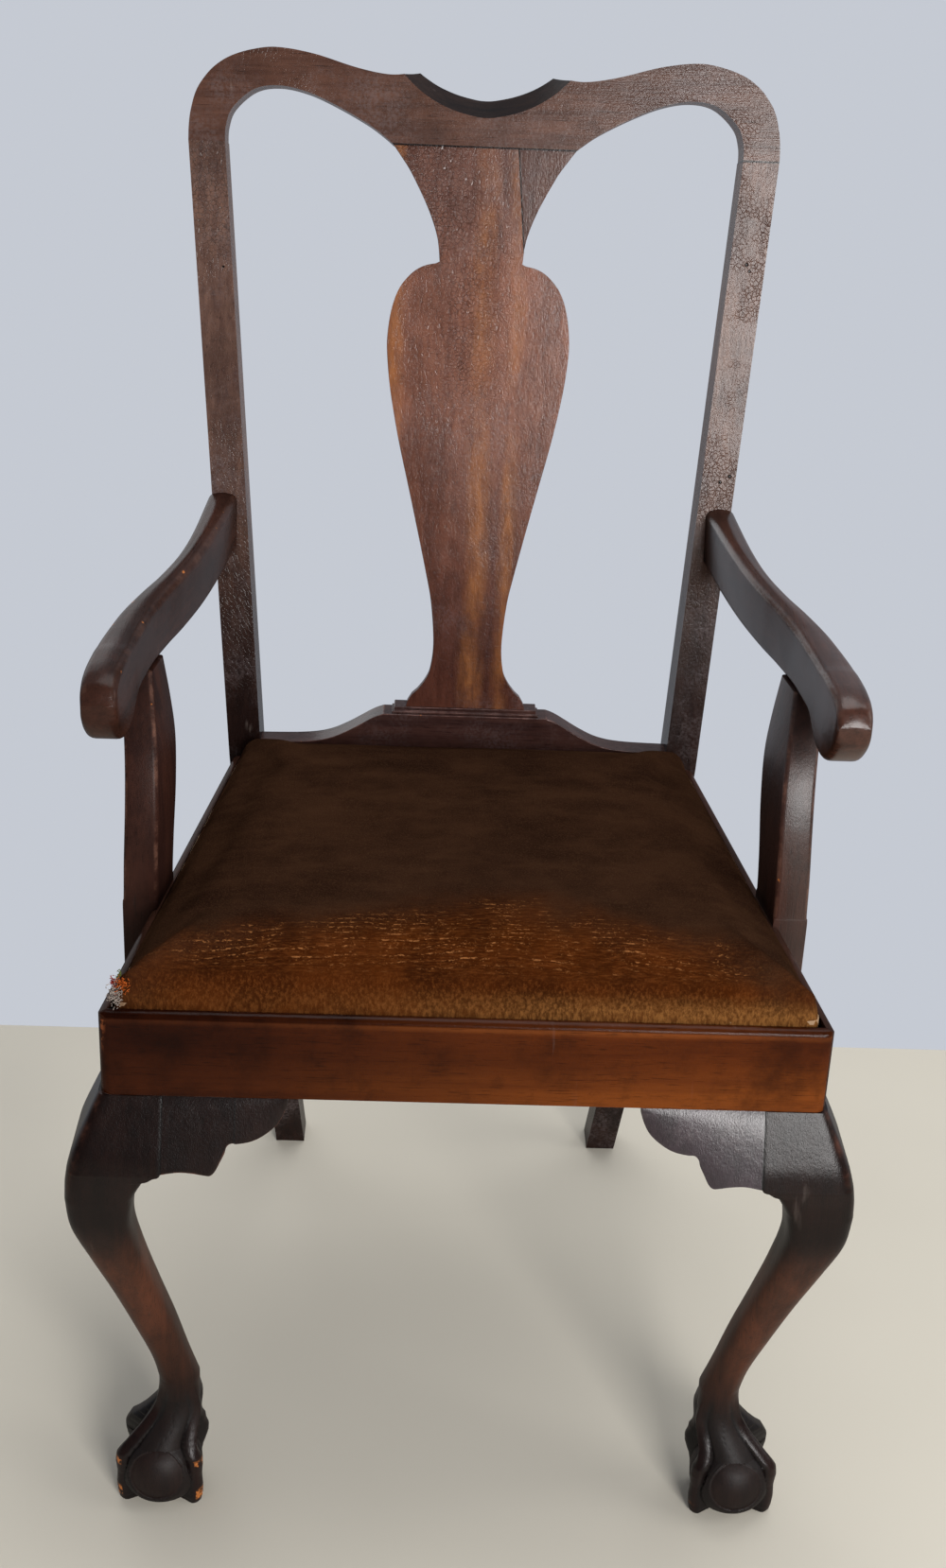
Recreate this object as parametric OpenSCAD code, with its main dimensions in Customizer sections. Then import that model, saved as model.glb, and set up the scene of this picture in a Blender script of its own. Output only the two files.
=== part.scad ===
// Child's armchair with a vase splat, carved claw-and-ball front feet and a drop-in seat.
// X runs to the right as the chair is seen from the front, Y runs to its back, Z runs up.

/* [Overall size] */
// Height of the crest's ears above the floor
chair_h = 767; // [720:1:820]
// Width of the front rail over its ends
front_w = 380; // [360:1:410]
// Width over the two stiles, level with the top of the rails
back_w = 302; // [285:1:315]
// Width over the two stiles where the crest rail begins
crest_w = 358; // [340:1:380]
// Depth from the front rail's face to the stiles' faces
seat_d = 317; // [300:1:340]
// Height of the rails' top edge above the floor
rail_top = 341; // [320:1:360]
// Lean of the back from upright, in degrees
rake = 11.8; // [9:0.1:14]

/* [Seat rails] */
// Height of a seat rail
rail_h = 49; // [44:1:56]
// Thickness of a seat rail
rail_t = 17; // [15:0.5:20]
// Thickness of the lip left outside the seat's rebate
seat_lip = 5; // [4:0.5:7]
// Depth of the rebate below the rail's top
ledge_drop = 12; // [10:0.5:14]
// Radius along the rail's top outer edge
rail_round = 4; // [2:0.5:4.5]
// Thickness of the rails' tenons
tenon_t = 7; // [5:0.5:9]
// Length of a side rail's tenon in the stile
side_tenon_l = 14; // [10:1:15]
// Length of the back rail's tenon in the stile
back_tenon_l = 6; // [4:0.5:7]
// Height of a rail's tenon
tenon_h = 24; // [18:1:28]
// Depth of the seat cleat, front to back
cleat_w = 11; // [8:1:14]
// Height of the seat cleat
cleat_h = 13; // [10:1:18]

/* [Back] */
// Height of the crest rail above its joints with the stiles
crest_h = 54; // [48:1:60]
// Thickness of the crest rail and of the stiles' upper ends
crest_t = 24; // [20:1:28]
// Width of a stile at the crest joint
stile_w = 22; // [19:0.5:24]
// Width of a stile at the floor and at the seat
stile_w_low = 20.4; // [18:0.2:22]
// Depth of a stile at the seat
stile_seat_t = 30; // [26:1:34]
// Depth of the rear foot at the floor
rear_foot_t = 24; // [20:1:28]
// Distance of the rear foot's face behind the stile's face at the seat
rear_foot_reach = 61; // [45:1:75]
// Upward slope of the hand scoop's floor, in degrees
scoop_slope = 14; // [8:1:20]
// Diameter of the crest's dowels
dowel_d = 7; // [5:0.5:8]
// Length of the crest's dowels
dowel_l = 36; // [28:1:44]

/* [Splat] */
// Width of the splat's bulb
splat_w = 112.6; // [100:0.2:124]
// Width of the splat's top, where it meets the crest
splat_head_w = 111.2; // [100:0.2:120]
// Thickness of the splat
splat_t = 9; // [7:0.5:12]
// Distance of the splat's face behind the crest's face
splat_set = 0.8; // [0.4:0.2:2]
// Length of the splat's tenons
splat_tenon_l = 9; // [6:0.5:12]
// Height of the plinth under the splat
plinth_h = 4; // [3:0.5:6]
// Width of the plinth
plinth_w = 91.2; // [84:0.2:100]
// Depth of the plinth, front to back
plinth_t = 12; // [10:0.5:13]
// Width of the shoe's flat top
shoe_top_w = 104.8; // [98:0.2:112]
// Height of the shoe's flat top above the rails
shoe_h = 31.3; // [28:0.1:36]
// Height of the shoe's ends above the rails
shoe_end_h = 9.5; // [7:0.5:12]
// Depth of the shoe, front to back
shoe_t = 16; // [15:0.5:18]
// Depth of the back rail, front to back
back_rail_t = 21; // [19:0.5:24]

/* [Front legs] */
// Size of the leg's stock, from its bracket joint to the knee's outermost face
leg_stock = 51.4; // [46:0.2:56]
// Distance of the bracket's joint from the rail's corner
bracket_start = 33; // [30:0.5:36]
// Distance of the foot's centre from the rail's end
foot_in = 23.5; // [18:0.5:28]
// Distance of the foot's centre behind the rail's face
foot_back = 25.5; // [20:0.5:30]
// Height of the carved foot
foot_h = 80; // [72:1:90]
// Radius of the ball
ball_r = 23.5; // [21:0.5:25]
// Reach of a claw from the foot's centre
claw_reach = 27; // [24:0.5:30]
// Radius of a claw
claw_r = 5; // [4.4:0.1:5.6]
// Length of a knee bracket along the rail
bracket_l = 65; // [56:1:76]
// Height of a knee bracket
bracket_h = 44; // [38:1:50]
// Distance of the glued tip's joint from the rail's corner
tip_joint = 70.8; // [66:0.2:76]

/* [Arms] */
// Width of an arm at its widest
arm_w = 20; // [17:0.5:22]
// Height of an arm above its level underside
arm_h = 34; // [30:1:38]
// Height of the arm's level underside above the floor
arm_level = 467; // [450:1:480]
// Drop of the arm's front scroll below its level underside
arm_hook = 11; // [8:0.5:14]
// Distance of the arm's nose behind the front rail's face
arm_front = 55; // [45:1:62]
// Distance of the arm's centre line from the chair's middle, at the nose
arm_x_front = 191.2; // [186:0.2:196]
// Distance of the arm's centre line from the chair's middle, at the stile
arm_x_back = 156.6; // [153:0.2:159]
// Thickness of an arm support
support_t = 19; // [16:0.5:21]
// Depth of an arm support at the rail, front to back
support_w = 37; // [32:1:42]
// Distance of the arm support behind the front rail's face
support_y = 110; // [102:1:116]
// Distance that the support leans back on its way up
support_sweep = 39; // [32:1:42]
// Depth that the support is let into the side rail
support_let_in = 4; // [3:0.5:5]
// Height of the support's foot above the rail's lower edge
support_foot = 5; // [3:0.5:8]

/* [Corner blocks and screws] */
// Length of a corner block's legs
block_l = 36; // [30:1:42]
// Height of a corner block
block_h = 22; // [18:1:26]
// Distance of the blocks' tops below the rebate's ledge
block_drop = 3; // [2:0.5:5]
// Diameter of a wood screw's shank
screw_d = 3.4; // [2.8:0.2:4]
// Diameter of a wood screw's head
screw_head_d = 6.8; // [5.6:0.2:8]
// Length of a wood screw
screw_l = 24; // [20:1:26]
// Length of the screw that holds an arm
arm_screw_l = 42; // [36:1:46]
// Depth of a screw's counterbore
counterbore = 6; // [4:0.5:7]

/* [Drop-in seat] */
// Thickness of the seat's inner frame
seat_frame_t = 13; // [11:0.5:15]
// Width of the seat frame's members
seat_frame_w = 30; // [26:1:36]
// Thickness of the seat's cover
cloth_t = 1.2; // [0.8:0.1:1.6]
// Gap between the cover and the rebate's walls
seat_gap = 0.4; // [0.3:0.1:0.8]
// Height of the cushion's edge above the rails
cushion_h = 24; // [18:1:30]
// Rise of the cushion's middle above its edge
crown_h = 5; // [3:0.5:9]
// Distance that the cushion's sides are drawn in between the corners
side_draw = 1.2; // [0:0.2:2]
// Radius of the seat's front corners
seat_r_front = 7; // [6.4:0.2:9]
// Radius of the seat's back corners
seat_r_back = 13; // [10:0.5:16]
// Width of a webbing strap
web_w = 38; // [30:1:44]
// Thickness of a webbing strap
web_t = 0.8; // [0.6:0.1:1]
// Number of straps each way
web_count = 4; // [3:1:5]
// Width of the cover's hem under the frame
hem_w = 13; // [10:0.5:16]
// Number of tacks along each edge of the dust cover
tack_count = 5; // [3:1:7]

/* [Hidden] */

LEFT = -1;
RIGHT = 1;
// Overrun of a cutting tool past a face
cut = 1;
// Gap of a glued or screwed fit, on each side
fit = 0.05;
$fn = 48;

rail_bot = rail_top - rail_h;
ledge_z = rail_top - ledge_drop;
joint_z = chair_h - crest_h;
half_w = front_w / 2;
half_crest = crest_w / 2;
stile_spread_share = (crest_w - back_w) / 2 / (joint_z - rail_top);
rail_mid = (rail_top + rail_bot) / 2;
side_angle = atan((half_w - stile_out(rail_mid)) / seat_d);
shoe_z = rail_top + shoe_h;
splat_z = shoe_z + plinth_h;
splat_joint_share = 0.04;
splat_top = joint_z + splat_joint_share * crest_h;
block_top = ledge_z - block_drop;
dowel_r = dowel_d / 2;
screw_r = screw_d / 2;
screw_head_r = screw_head_d / 2;

// X of a stile's outer and inner edges at the height z
function stile_out(z) = back_w / 2 + (z - rail_top) * stile_spread_share;
function stile_in(z) = stile_out(z)
    - lerp(stile_w_low, stile_w, max(0, (z - rail_top) / (joint_z - rail_top)));
// Y of the back's front face at the height z
function face_y(z) = seat_d + max(0, z - rail_top) * tan(rake);
// X of a line along the side rail, the distance inset inside its outer face
function side_x(y, inset) = half_w - inset / cos(side_angle) - y * tan(side_angle);

function lerp(a, b, t) = a + (b - a) * t;
// A point of a smooth curve through the points p, at the fraction t after point i
function curve_point(p, i, t) =
    let (n = len(p) - 1, a = p[max(i - 1, 0)], b = p[i], c = p[min(i + 1, n)], d = p[min(i + 2, n)])
    (2 * b + (c - a) * t + (2 * a - 5 * b + 4 * c - d) * t * t + (3 * b - a - 3 * c + d) * t * t * t) / 2;
function curve(p, steps) =
    [for (i = [0 : len(p) - 2], s = [0 : steps - 1]) curve_point(p, i, s / steps), p[len(p) - 1]];
function reversed(p) = [for (i = [len(p) - 1 : -1 : 0]) p[i]];
function mirrored_points(p) = [for (q = reversed(p)) [-q[0], q[1]]];
function arc(x, y, r, from, to, steps) =
    [for (i = [0 : steps]) let (a = lerp(from, to, i / steps)) [x + r * cos(a), y + r * sin(a)]];

// A closed skin through rings of equal length, with a fan about a middle point at each end
module loft(rings, first_middle, last_middle) {
    n = len(rings[0]);
    rows = len(rings);
    first = rows * n;
    last = first + 1;
    points = concat([for (ring = rings) each ring], [first_middle, last_middle]);
    faces = concat(
        [for (i = [0 : n - 1]) [first, i, (i + 1) % n]],
        [for (i = [0 : n - 1]) let (k = (rows - 1) * n) [last, k + (i + 1) % n, k + i]],
        [for (r = [0 : rows - 2], i = [0 : n - 1]) let (j = (i + 1) % n)
            [r * n + i, r * n + n + i, r * n + j]],
        [for (r = [0 : rows - 2], i = [0 : n - 1]) let (j = (i + 1) % n)
            [r * n + j, r * n + n + i, r * n + n + j]]);
    polyhedron(points, faces);
}
// The same skin for rings that run the other way round
module loft_back(rings, first_middle, last_middle) {
    loft(reversed(rings), last_middle, first_middle);
}
function middle(ring) = [for (k = [0 : 2]) [for (p = ring) p[k]] * [for (p = ring) 1] / len(ring)];

module on_side(side) {
    if (side == LEFT) mirror([1, 0, 0]) children();
    else children();
}
// Stands a flat outline on the leaning back, with its foot at the height z
module on_back(z, thickness, set) {
    translate([0, face_y(z), z]) rotate([90 - rake, 0, 0])
        translate([0, 0, -set - thickness]) linear_extrude(thickness) children();
}
// Moves to the right side rail: X back along it, Y inward from its outer face
module along_side_rail() {
    translate([half_w, 0, 0]) rotate([0, 0, 90 + side_angle]) children();
}
// A wood screw with its head at the origin and its point up Z
module wood_screw(length, grow) {
    cylinder(h = length + (grow > 0 ? cut : 0), r = screw_r + grow);
    cylinder(h = screw_head_r, r1 = screw_head_r + grow, r2 = screw_r + grow);
}

// Back: crest rail, splat, plinth, shoe, back rail and stiles
crest_top_shares = [[1, 0], [0.994, 0.19], [0.943, 0.62], [0.834, 0.919], [0.706, 1], [0.584, 0.948],
    [0.447, 0.828], [0.345, 0.768], [0.279, 0.775], [0.225, 0.83],
    [0.19, 0.9], [0, 0.9]];
// Along the opening from the splat's head to the stile, and up the crest
crest_under_shares = [[1, 0], [0.995, 0.17], [0.955, 0.36], [0.83, 0.556], [0.68, 0.604], [0.51, 0.546],
    [0.33, 0.41], [0.15, 0.238], [0.05, 0.113], [0, splat_joint_share]];
scoop_shares = [[0.279, 0.77], [0.229, 0.622], [0.167, 0.494], [0.1, 0.407], [0.033, 0.357], [0, 0.348]];
crest_steps = 3;
crest_slope_h = crest_h / cos(rake);
crest_top = curve([for (s = crest_top_shares) [s[0] * half_crest, s[1] * crest_slope_h]], crest_steps);
crest_under = curve([for (s = crest_under_shares)
    [lerp(splat_head_w / 2, stile_in(joint_z), s[0]), s[1] * crest_slope_h]], crest_steps);
crest_half = concat(reversed(crest_top), crest_under);

module crest_outline() {
    polygon(concat(crest_half, mirrored_points(crest_half)));
}
// The dished hand-hold, cut along a slope that rises to the back
module scoop_cut() {
    reach = crest_t + 2 * cut;
    across = crest_h * cos(rake + scoop_slope) / cos(rake);
    dish = curve([for (s = scoop_shares) [s[0] * half_crest, s[1] * across]], crest_steps);
    translate([0, face_y(joint_z), joint_z]) rotate([90 + scoop_slope, 0, 0])
        translate([0, 0, -2 * reach]) linear_extrude(3 * reach)
            polygon(concat(dish, mirrored_points(dish),
                [[-dish[0][0], 2 * crest_h], [dish[0][0], 2 * crest_h]]));
}
module crest_dowel(grow) {
    translate([0, face_y(joint_z), joint_z]) rotate([-rake, 0, 0])
        translate([half_crest - stile_w / 2, crest_t / 2, -dowel_l / 2 - grow])
            cylinder(h = dowel_l + 2 * grow, r = dowel_r + grow);
}
splat_tenon_w_share = 0.36;
splat_tenon_t_share = 0.55;
module splat_tenon(z, down, grow) {
    w = splat_w * splat_tenon_w_share + 2 * grow;
    t = splat_t * splat_tenon_t_share + 2 * grow;
    l = splat_tenon_l + grow;
    on_back(z, t, splat_set + (splat_t - t) / 2)
        translate([-w / 2, down ? -l : -splat_t]) square([w, l + splat_t]);
}
module crest_rail() color([0.25, 0.12, 0.09]) {
    difference() {
        on_back(joint_z, crest_t, 0) crest_outline();
        scoop_cut();
        splat_tenon(splat_top, false, fit);
        for (side = [LEFT, RIGHT]) on_side(side) crest_dowel(fit);
    }
}
module crest_dowels() color([0.7, 0.55, 0.35]) {
    for (side = [LEFT, RIGHT]) on_side(side) crest_dowel(0);
}

// Half widths as shares of the bulb's half width, heights as shares of the splat's height
splat_head_shares = [[0.9, 0.981], [0.782, 0.953], [0.595, 0.895], [0.485, 0.846], [0.451, 0.804]];
splat_bulb_shares = [[0.524, 0.801], [0.728, 0.783], [0.808, 0.774], [0.897, 0.744], [0.968, 0.709],
    [1, 0.669], [0.993, 0.635], [0.959, 0.586], [0.902, 0.534], [0.829, 0.478], [0.666, 0.369],
    [0.494, 0.249], [0.426, 0.193], [0.387, 0.12], [0.414, 0.073], [0.472, 0.05], [0.554, 0.032]];
splat_base_shares = [[0.615, 0.023], [0.663, 0.01], [0.679, 0], [0.679, -0.01]];
splat_slope_h = (splat_top - splat_z) / cos(rake);
splat_steps = 2;
function splat_side(shares) = [for (s = shares) [s[0] * splat_w / 2, s[1] * splat_slope_h]];
splat_half = concat(
    [[splat_head_w / 2, splat_slope_h]], curve(splat_side(splat_head_shares), splat_steps),
    curve(splat_side(splat_bulb_shares), splat_steps), splat_side(splat_base_shares));
// The line along which the right ear is glued on
ear_top_share = 0.366;
ear_low_share = 0.46;
ear_low_z_share = 0.828;
module ear_region(grow) {
    polygon([[ear_top_share * splat_w / 2 + grow, splat_slope_h + cut],
        [ear_low_share * splat_w / 2 + grow, ear_low_z_share * splat_slope_h],
        [splat_w, ear_low_z_share * splat_slope_h], [splat_w, splat_slope_h + cut]]);
}
module splat_outline() {
    polygon(concat(splat_half, mirrored_points(splat_half)));
}
module splat() color([0.35, 0.14, 0.08]) {
    union() {
        difference() {
            on_back(splat_z, splat_t, splat_set) difference() {
                splat_outline();
                ear_region(0);
            }
            translate([-splat_w, seat_d, splat_z - splat_w]) cube([2 * splat_w, seat_d, splat_w]);
        }
        splat_tenon(splat_top, false, 0);
        splat_tenon(splat_z, true, 0);
    }
}
module splat_ear() color([0.3, 0.13, 0.09]) {
    difference() {
        on_back(splat_z, splat_t, splat_set) intersection() {
            splat_outline();
            ear_region(0);
        }
        splat_tenon(splat_top, false, fit);
    }
}

shoe_front = face_y(splat_z) + splat_set - (plinth_t - splat_t) / 2;
plinth_step_share = 0.35;
plinth_step = plinth_h * plinth_step_share;
plinth_lip_share = 0.12;
// The plinth has a narrower upper step and a lip that stands a little proud below
module shoe_plinth() color([0.22, 0.1, 0.08]) {
    lip = plinth_t * plinth_lip_share;
    difference() {
        union() {
            translate([-plinth_w / 2, shoe_front, shoe_z + plinth_step])
                cube([plinth_w, plinth_t, plinth_h - plinth_step]);
            translate([-plinth_w / 2 - lip, shoe_front - lip, shoe_z])
                cube([plinth_w + 2 * lip, plinth_t + lip, plinth_step]);
        }
        splat_tenon(splat_z, true, fit);
    }
}
// Along the shoulder from the flat top to the stile, and up from the shoe's end
shoe_shoulder_shares = [[0, 1], [0.09, 0.86], [0.29, 0.42], [0.45, 0.16], [0.65, 0.04], [1, 0]];
shoe_steps = 3;
back_rail_set_share = 0.25;
back_rail_y = seat_d + (stile_seat_t - back_rail_t) * back_rail_set_share;
shoe_y = back_rail_y + (back_rail_t - shoe_t) * back_rail_set_share;
module between_stiles(y, thickness) {
    translate([0, y + thickness, 0]) rotate([90, 0, 0]) linear_extrude(thickness) children();
}
module splat_shoe() color([0.22, 0.1, 0.08]) {
    end_z = rail_top + shoe_end_h;
    shoulder = curve([for (s = shoe_shoulder_shares)
        [lerp(shoe_top_w / 2, stile_in(end_z), s[0]), lerp(end_z, shoe_z, s[1])]], shoe_steps);
    half = concat(shoulder, [[stile_in(rail_top), rail_top]]);
    difference() {
        between_stiles(shoe_y, shoe_t) polygon(concat(half, mirrored_points(half)));
        splat_tenon(splat_z, true, fit);
    }
}
module back_tenon(grow) {
    x = stile_in(rail_mid);
    translate([x - cut, back_rail_y + (back_rail_t - tenon_t) / 2 - grow, rail_mid - tenon_h / 2 - grow])
        cube([back_tenon_l + cut + grow, tenon_t + 2 * grow, tenon_h + 2 * grow]);
}
module back_rail() color([0.22, 0.1, 0.08]) {
    half = [[stile_in(rail_top), rail_top], [stile_in(rail_bot), rail_bot]];
    union() {
        between_stiles(back_rail_y, back_rail_t) polygon(concat(half, mirrored_points(half)));
        for (side = [LEFT, RIGHT]) on_side(side) back_tenon(0);
    }
}
// The cleat glued to the back rail, which carries the seat's back edge
module seat_cleat() color([0.45, 0.3, 0.2]) {
    x = side_x(seat_d, rail_t) - block_l - cut;
    translate([-x, back_rail_y - cleat_w, ledge_z - cleat_h]) cube([2 * x, cleat_w, cleat_h]);
}

// Down the rear leg from the rail, and back towards the foot
rear_leg_shares = [[0, 0], [0.2, 0.06], [0.45, 0.26], [0.7, 0.54], [1, 1]];
rear_leg_steps = 4;
module stile_profile() {
    top = [face_y(joint_z), joint_z];
    heel_t = rear_foot_t - stile_seat_t;
    front = curve([for (s = rear_leg_shares) [seat_d + s[1] * rear_foot_reach, rail_bot * (1 - s[0])]],
        rear_leg_steps);
    back = [for (i = [0 : len(front) - 1]) let (p = front[len(front) - 1 - i])
        [p[0] + stile_seat_t + heel_t * (1 - p[1] / rail_bot), p[1]]];
    polygon(concat([top, [seat_d, rail_top]], front, back,
        [[seat_d + stile_seat_t, rail_top], top + crest_t * [cos(rake), -sin(rake)]]));
}
module stile_front() {
    polygon([[stile_out(0), 0], [stile_out(chair_h), chair_h],
        [stile_out(chair_h) - stile_w, chair_h], [stile_in(joint_z), joint_z],
        [stile_in(rail_top), rail_top], [stile_in(0), 0]]);
}
module side_tenon(grow) {
    along_side_rail()
        translate([seat_d / cos(side_angle) - cut, (rail_t - tenon_t) / 2 - grow,
                rail_mid - tenon_h / 2 - grow])
            cube([side_tenon_l + cut + grow, tenon_t + 2 * grow, tenon_h + 2 * grow]);
}
module stile(side) color([0.24, 0.12, 0.1]) {
    on_side(side) difference() {
        intersection() {
            rotate([90, 0, 90]) linear_extrude(crest_w) stile_profile();
            translate([0, 2 * seat_d, 0]) rotate([90, 0, 0]) linear_extrude(2 * seat_d) stile_front();
        }
        side_tenon(fit);
        back_tenon(fit);
        crest_dowel(fit);
        arm_screw(fit);
        arm_plug_hole();
    }
}

// Rails of the seat
module rail_section() {
    polygon(concat([[rail_t, rail_bot], [rail_t, ledge_z], [seat_lip, ledge_z], [seat_lip, rail_top]],
        arc(rail_round, rail_top - rail_round, rail_round, 90, 180, 5), [[0, rail_bot]]));
}
module front_rail() color([0.33, 0.14, 0.08]) {
    difference() {
        intersection() {
            translate([-half_w, 0, 0]) rotate([90, 0, 90]) linear_extrude(front_w) rail_section();
            linear_extrude(chair_h) polygon([[-half_w, 0], [half_w, 0],
                [side_x(rail_t, rail_t), rail_t], [-side_x(rail_t, rail_t), rail_t]]);
        }
        for (side = [LEFT, RIGHT]) on_side(side) front_block_screws(fit);
    }
}
module side_rail(side) color([0.24, 0.11, 0.09]) {
    on_side(side) difference() {
        union() {
            intersection() {
                along_side_rail() rotate([90, 0, 90])
                    linear_extrude(2 * seat_d) rail_section();
                linear_extrude(chair_h) polygon([[half_w, 0], [side_x(seat_d, 0), seat_d],
                    [side_x(seat_d, rail_t), seat_d], [side_x(rail_t, rail_t), rail_t]]);
            }
            side_tenon(0);
        }
        support_housing();
        front_block_screws(fit);
        back_block_screws(fit);
        support_screw_pair(fit);
    }
}

// Front legs: rings of a rounded square that turn into a ball held by four claws
leg_sides = 48;
// Height up the leg, outer face as a share of the stock, inner face as a share of the
// bracket's start, and squareness
leg_shares = [[1, 0.01, 1, 9], [0.959, 0.121, 1, 8], [0.904, 0.26, 1, 7],
    [0.8685, 0.322, 1, 6.5], [0.86, 0.331, 0.87, 6], [0.85, 0.34, 0.775, 5.5],
    [0.836, 0.35, 0.69, 5], [0.815, 0.356, 0.585, 4.5], [0.795, 0.356, 0.525, 4.2],
    [0.736, 0.317, 0.48, 3.8], [0.651, 0.167, 0.606, 3.3], [0.548, -0.025, 0.812, 2.9],
    [0.445, -0.202, 1.03, 2.7], [0.342, -0.368, 1.227, 2.4], [0.274, -0.434, 1.379, 2.2]];
leg_rows = curve(leg_shares, 2);
function leg_angle(i) = i * 360 / leg_sides;
function square_r(half, power, a) = half / pow(pow(abs(cos(a)), power) + pow(abs(sin(a)), power), 1 / power);
// Above this share the inner faces are flat, where the brackets are glued on
leg_flat_share = 0.865;
function leg_ring(row) =
    let (in_share = row[0] < leg_flat_share ? row[2] : min(1, row[2]),
        out = row[1] * leg_stock, in = in_share * bracket_start, half = (out + in) / 2,
        c = (in - out) / 2, up = (row[0] - leg_low_share) / (1 - leg_low_share),
        z = lerp(foot_h, rail_bot, up))
    [for (i = [0 : leg_sides - 1]) let (a = leg_angle(i), r = square_r(half, row[3], a))
        [half_w - c + r * cos(a), c + r * sin(a), z]];
leg_low_share = leg_shares[len(leg_shares) - 1][0];
ankle_row = leg_shares[len(leg_shares) - 1];
ankle_c = (ankle_row[2] * bracket_start - ankle_row[1] * leg_stock) / 2;

// Height up the foot, reach of the web, of a front claw and of a back claw, and a claw's radius, as shares
foot_shares = [[0, 0, 0.9, 0.9, 0.78], [0.02, 0, 0.94, 0.95, 0.88], [0.06, 0, 0.965, 0.98, 0.96],
    [0.11, 0, 0.98, 0.99, 0.98], [0.16, 0, 0.985, 1, 0.98], [0.21, 0, 0.975, 1.02, 0.95],
    [0.26, 0, 0.97, 1.06, 0.94], [0.31, 0, 0.985, 1.13, 1.02], [0.36, 0, 1, 1.19, 1.08],
    [0.41, 0.755, 0.985, 1.205, 1.06], [0.43, 0.78, 0.97, 1.19, 1.04], [0.5, 0.6, 0.87, 1.12, 0.98],
    [0.55, 0.565, 0.79, 0.97, 0.95], [0.6, 0.54, 0.725, 0.85, 0.92], [0.66, 0.515, 0.66, 0.745, 0.9],
    [0.72, 0.495, 0.605, 0.655, 0.88], [0.8, 0.47, 0.54, 0.56, 0.86], [0.88, 0.45, 0.49, 0.5, 0.82],
    [0.95, 0.435, 0.455, 0.46, 0.8]];
ball_lift_share = 0.94;
// Directions of the claws about the foot's centre, which is turned a little inward at the back
claw_front_low = -21;
claw_front_high = -50;
claw_back = 45;
claw_turn = 3;
// Share of the way from the ankle's centre to the foot's centre
foot_lean_share = 0.43;
// Share of the foot's height over which its centre moves back under the ankle
foot_lean_span = 0.38;
function foot_lean(t) =
    t < foot_lean_share ? 1 : (1 + cos(min(1, (t - foot_lean_share) / foot_lean_span) * 180)) / 2;
function ball_radius(z) = let (d = z - ball_r * ball_lift_share)
    abs(d) < ball_r ? sqrt(ball_r * ball_r - d * d) : 0;
function claw_radius(reach, r, turn) =
    let (c = reach - r, s = c * sin(turn))
    cos(turn) > 0 && abs(s) < r ? c * cos(turn) + sqrt(r * r - s * s) : 0;
function turn_between(a, b) = let (d = (a - b + 540) % 360 - 180) d;
function foot_ring(row) =
    let (t = row[0], z = t * foot_h, lean = foot_lean(t), x = lerp(half_w - ankle_c, half_w - foot_in, lean),
        y = lerp(ankle_c, foot_back, lean), front = lerp(claw_front_low, claw_front_high, t * t),
        web = row[1] * claw_reach, r = row[4] * claw_r)
    [for (i = [0 : leg_sides - 1])
        let (a = leg_angle(i) - claw_turn,
            front_claws = max([for (c = [front, 180 - front])
                claw_radius(row[2] * claw_reach, r, turn_between(a, c))]),
            back_claws = max([for (c = [claw_back, 180 - claw_back])
                claw_radius(row[3] * claw_reach, r, turn_between(a, c))]),
            d = max(ball_radius(z), web, front_claws, back_claws))
        [x + d * cos(leg_angle(i)), y + d * sin(leg_angle(i)), z]];
leg_rings = concat([for (row = foot_shares) foot_ring(row)], [for (row = reversed(leg_rows)) leg_ring(row)]);
leg_top_c = (leg_shares[0][2] * bracket_start - leg_shares[0][1] * leg_stock) / 2;

// The stub that stands up inside the rails' corner
module leg_stub() {
    in = bracket_start;
    translate([0, 0, rail_bot - cut]) linear_extrude(block_top - rail_bot + cut)
        polygon([[half_w - in, rail_t], [side_x(rail_t, rail_t), rail_t],
            [side_x(in, rail_t), in], [half_w - in, in]]);
}
module front_leg(side) color([0.22, 0.1, 0.08]) {
    on_side(side) union() {
        loft(leg_rings, [half_w - foot_in, foot_back, 0], [half_w - leg_top_c, leg_top_c, rail_bot]);
        leg_stub();
    }
}

// Along the bracket from the leg to the tip, and down from the rail
bracket_shares = [[0, 0.872], [0.135, 0.848], [0.251, 0.862], [0.34, 0.887], [0.392, 0.895], [0.431, 0.852],
    [0.472, 0.739], [0.505, 0.642], [0.52, 0.567], [0.554, 0.523], [0.615, 0.521], [0.718, 0.496],
    [0.815, 0.431], [0.914, 0.316], [0.969, 0.185], [1, 0.05]];
bracket_levels = 3;
knee_reach_share = 0.356;
bracket_bulge = 0.8;
bracket_fade = 0.25;
// How far the bracket's face stands out from the rail, following the knee
function bracket_out(along, down) =
    leg_stock * knee_reach_share * pow(max(0, down), bracket_bulge) * pow(1 - along, bracket_fade);
function bracket_section(s) = let (d = s[1] * bracket_h)
    concat([for (i = [0 : bracket_levels]) let (t = i / bracket_levels)
            [-bracket_out(s[0], t * s[1]), -t * d]],
        [[rail_t, -d], [rail_t, 0]]);
function bracket_piece(from, to) = [for (s = bracket_shares) if (s[0] >= from && s[0] <= to) s];
tip_share = (tip_joint - bracket_start) / bracket_l;
tip_down_share = lookup(tip_share, bracket_shares);
function front_bracket_rings(shares) = [for (s = shares)
    [for (p = bracket_section(s)) [half_w - bracket_start - s[0] * bracket_l, p[0], rail_bot + p[1]]]];
function side_bracket_rings(shares) = [for (s = shares) let (y = bracket_start + s[0] * bracket_l)
    [for (p = bracket_section(s)) [side_x(y, p[0]), y, rail_bot + p[1]]]];
module front_bracket(side, shares) color([0.2, 0.09, 0.08]) {
    rings = front_bracket_rings(shares);
    on_side(side) loft_back(rings, middle(rings[0]), middle(rings[len(rings) - 1]));
}
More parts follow.
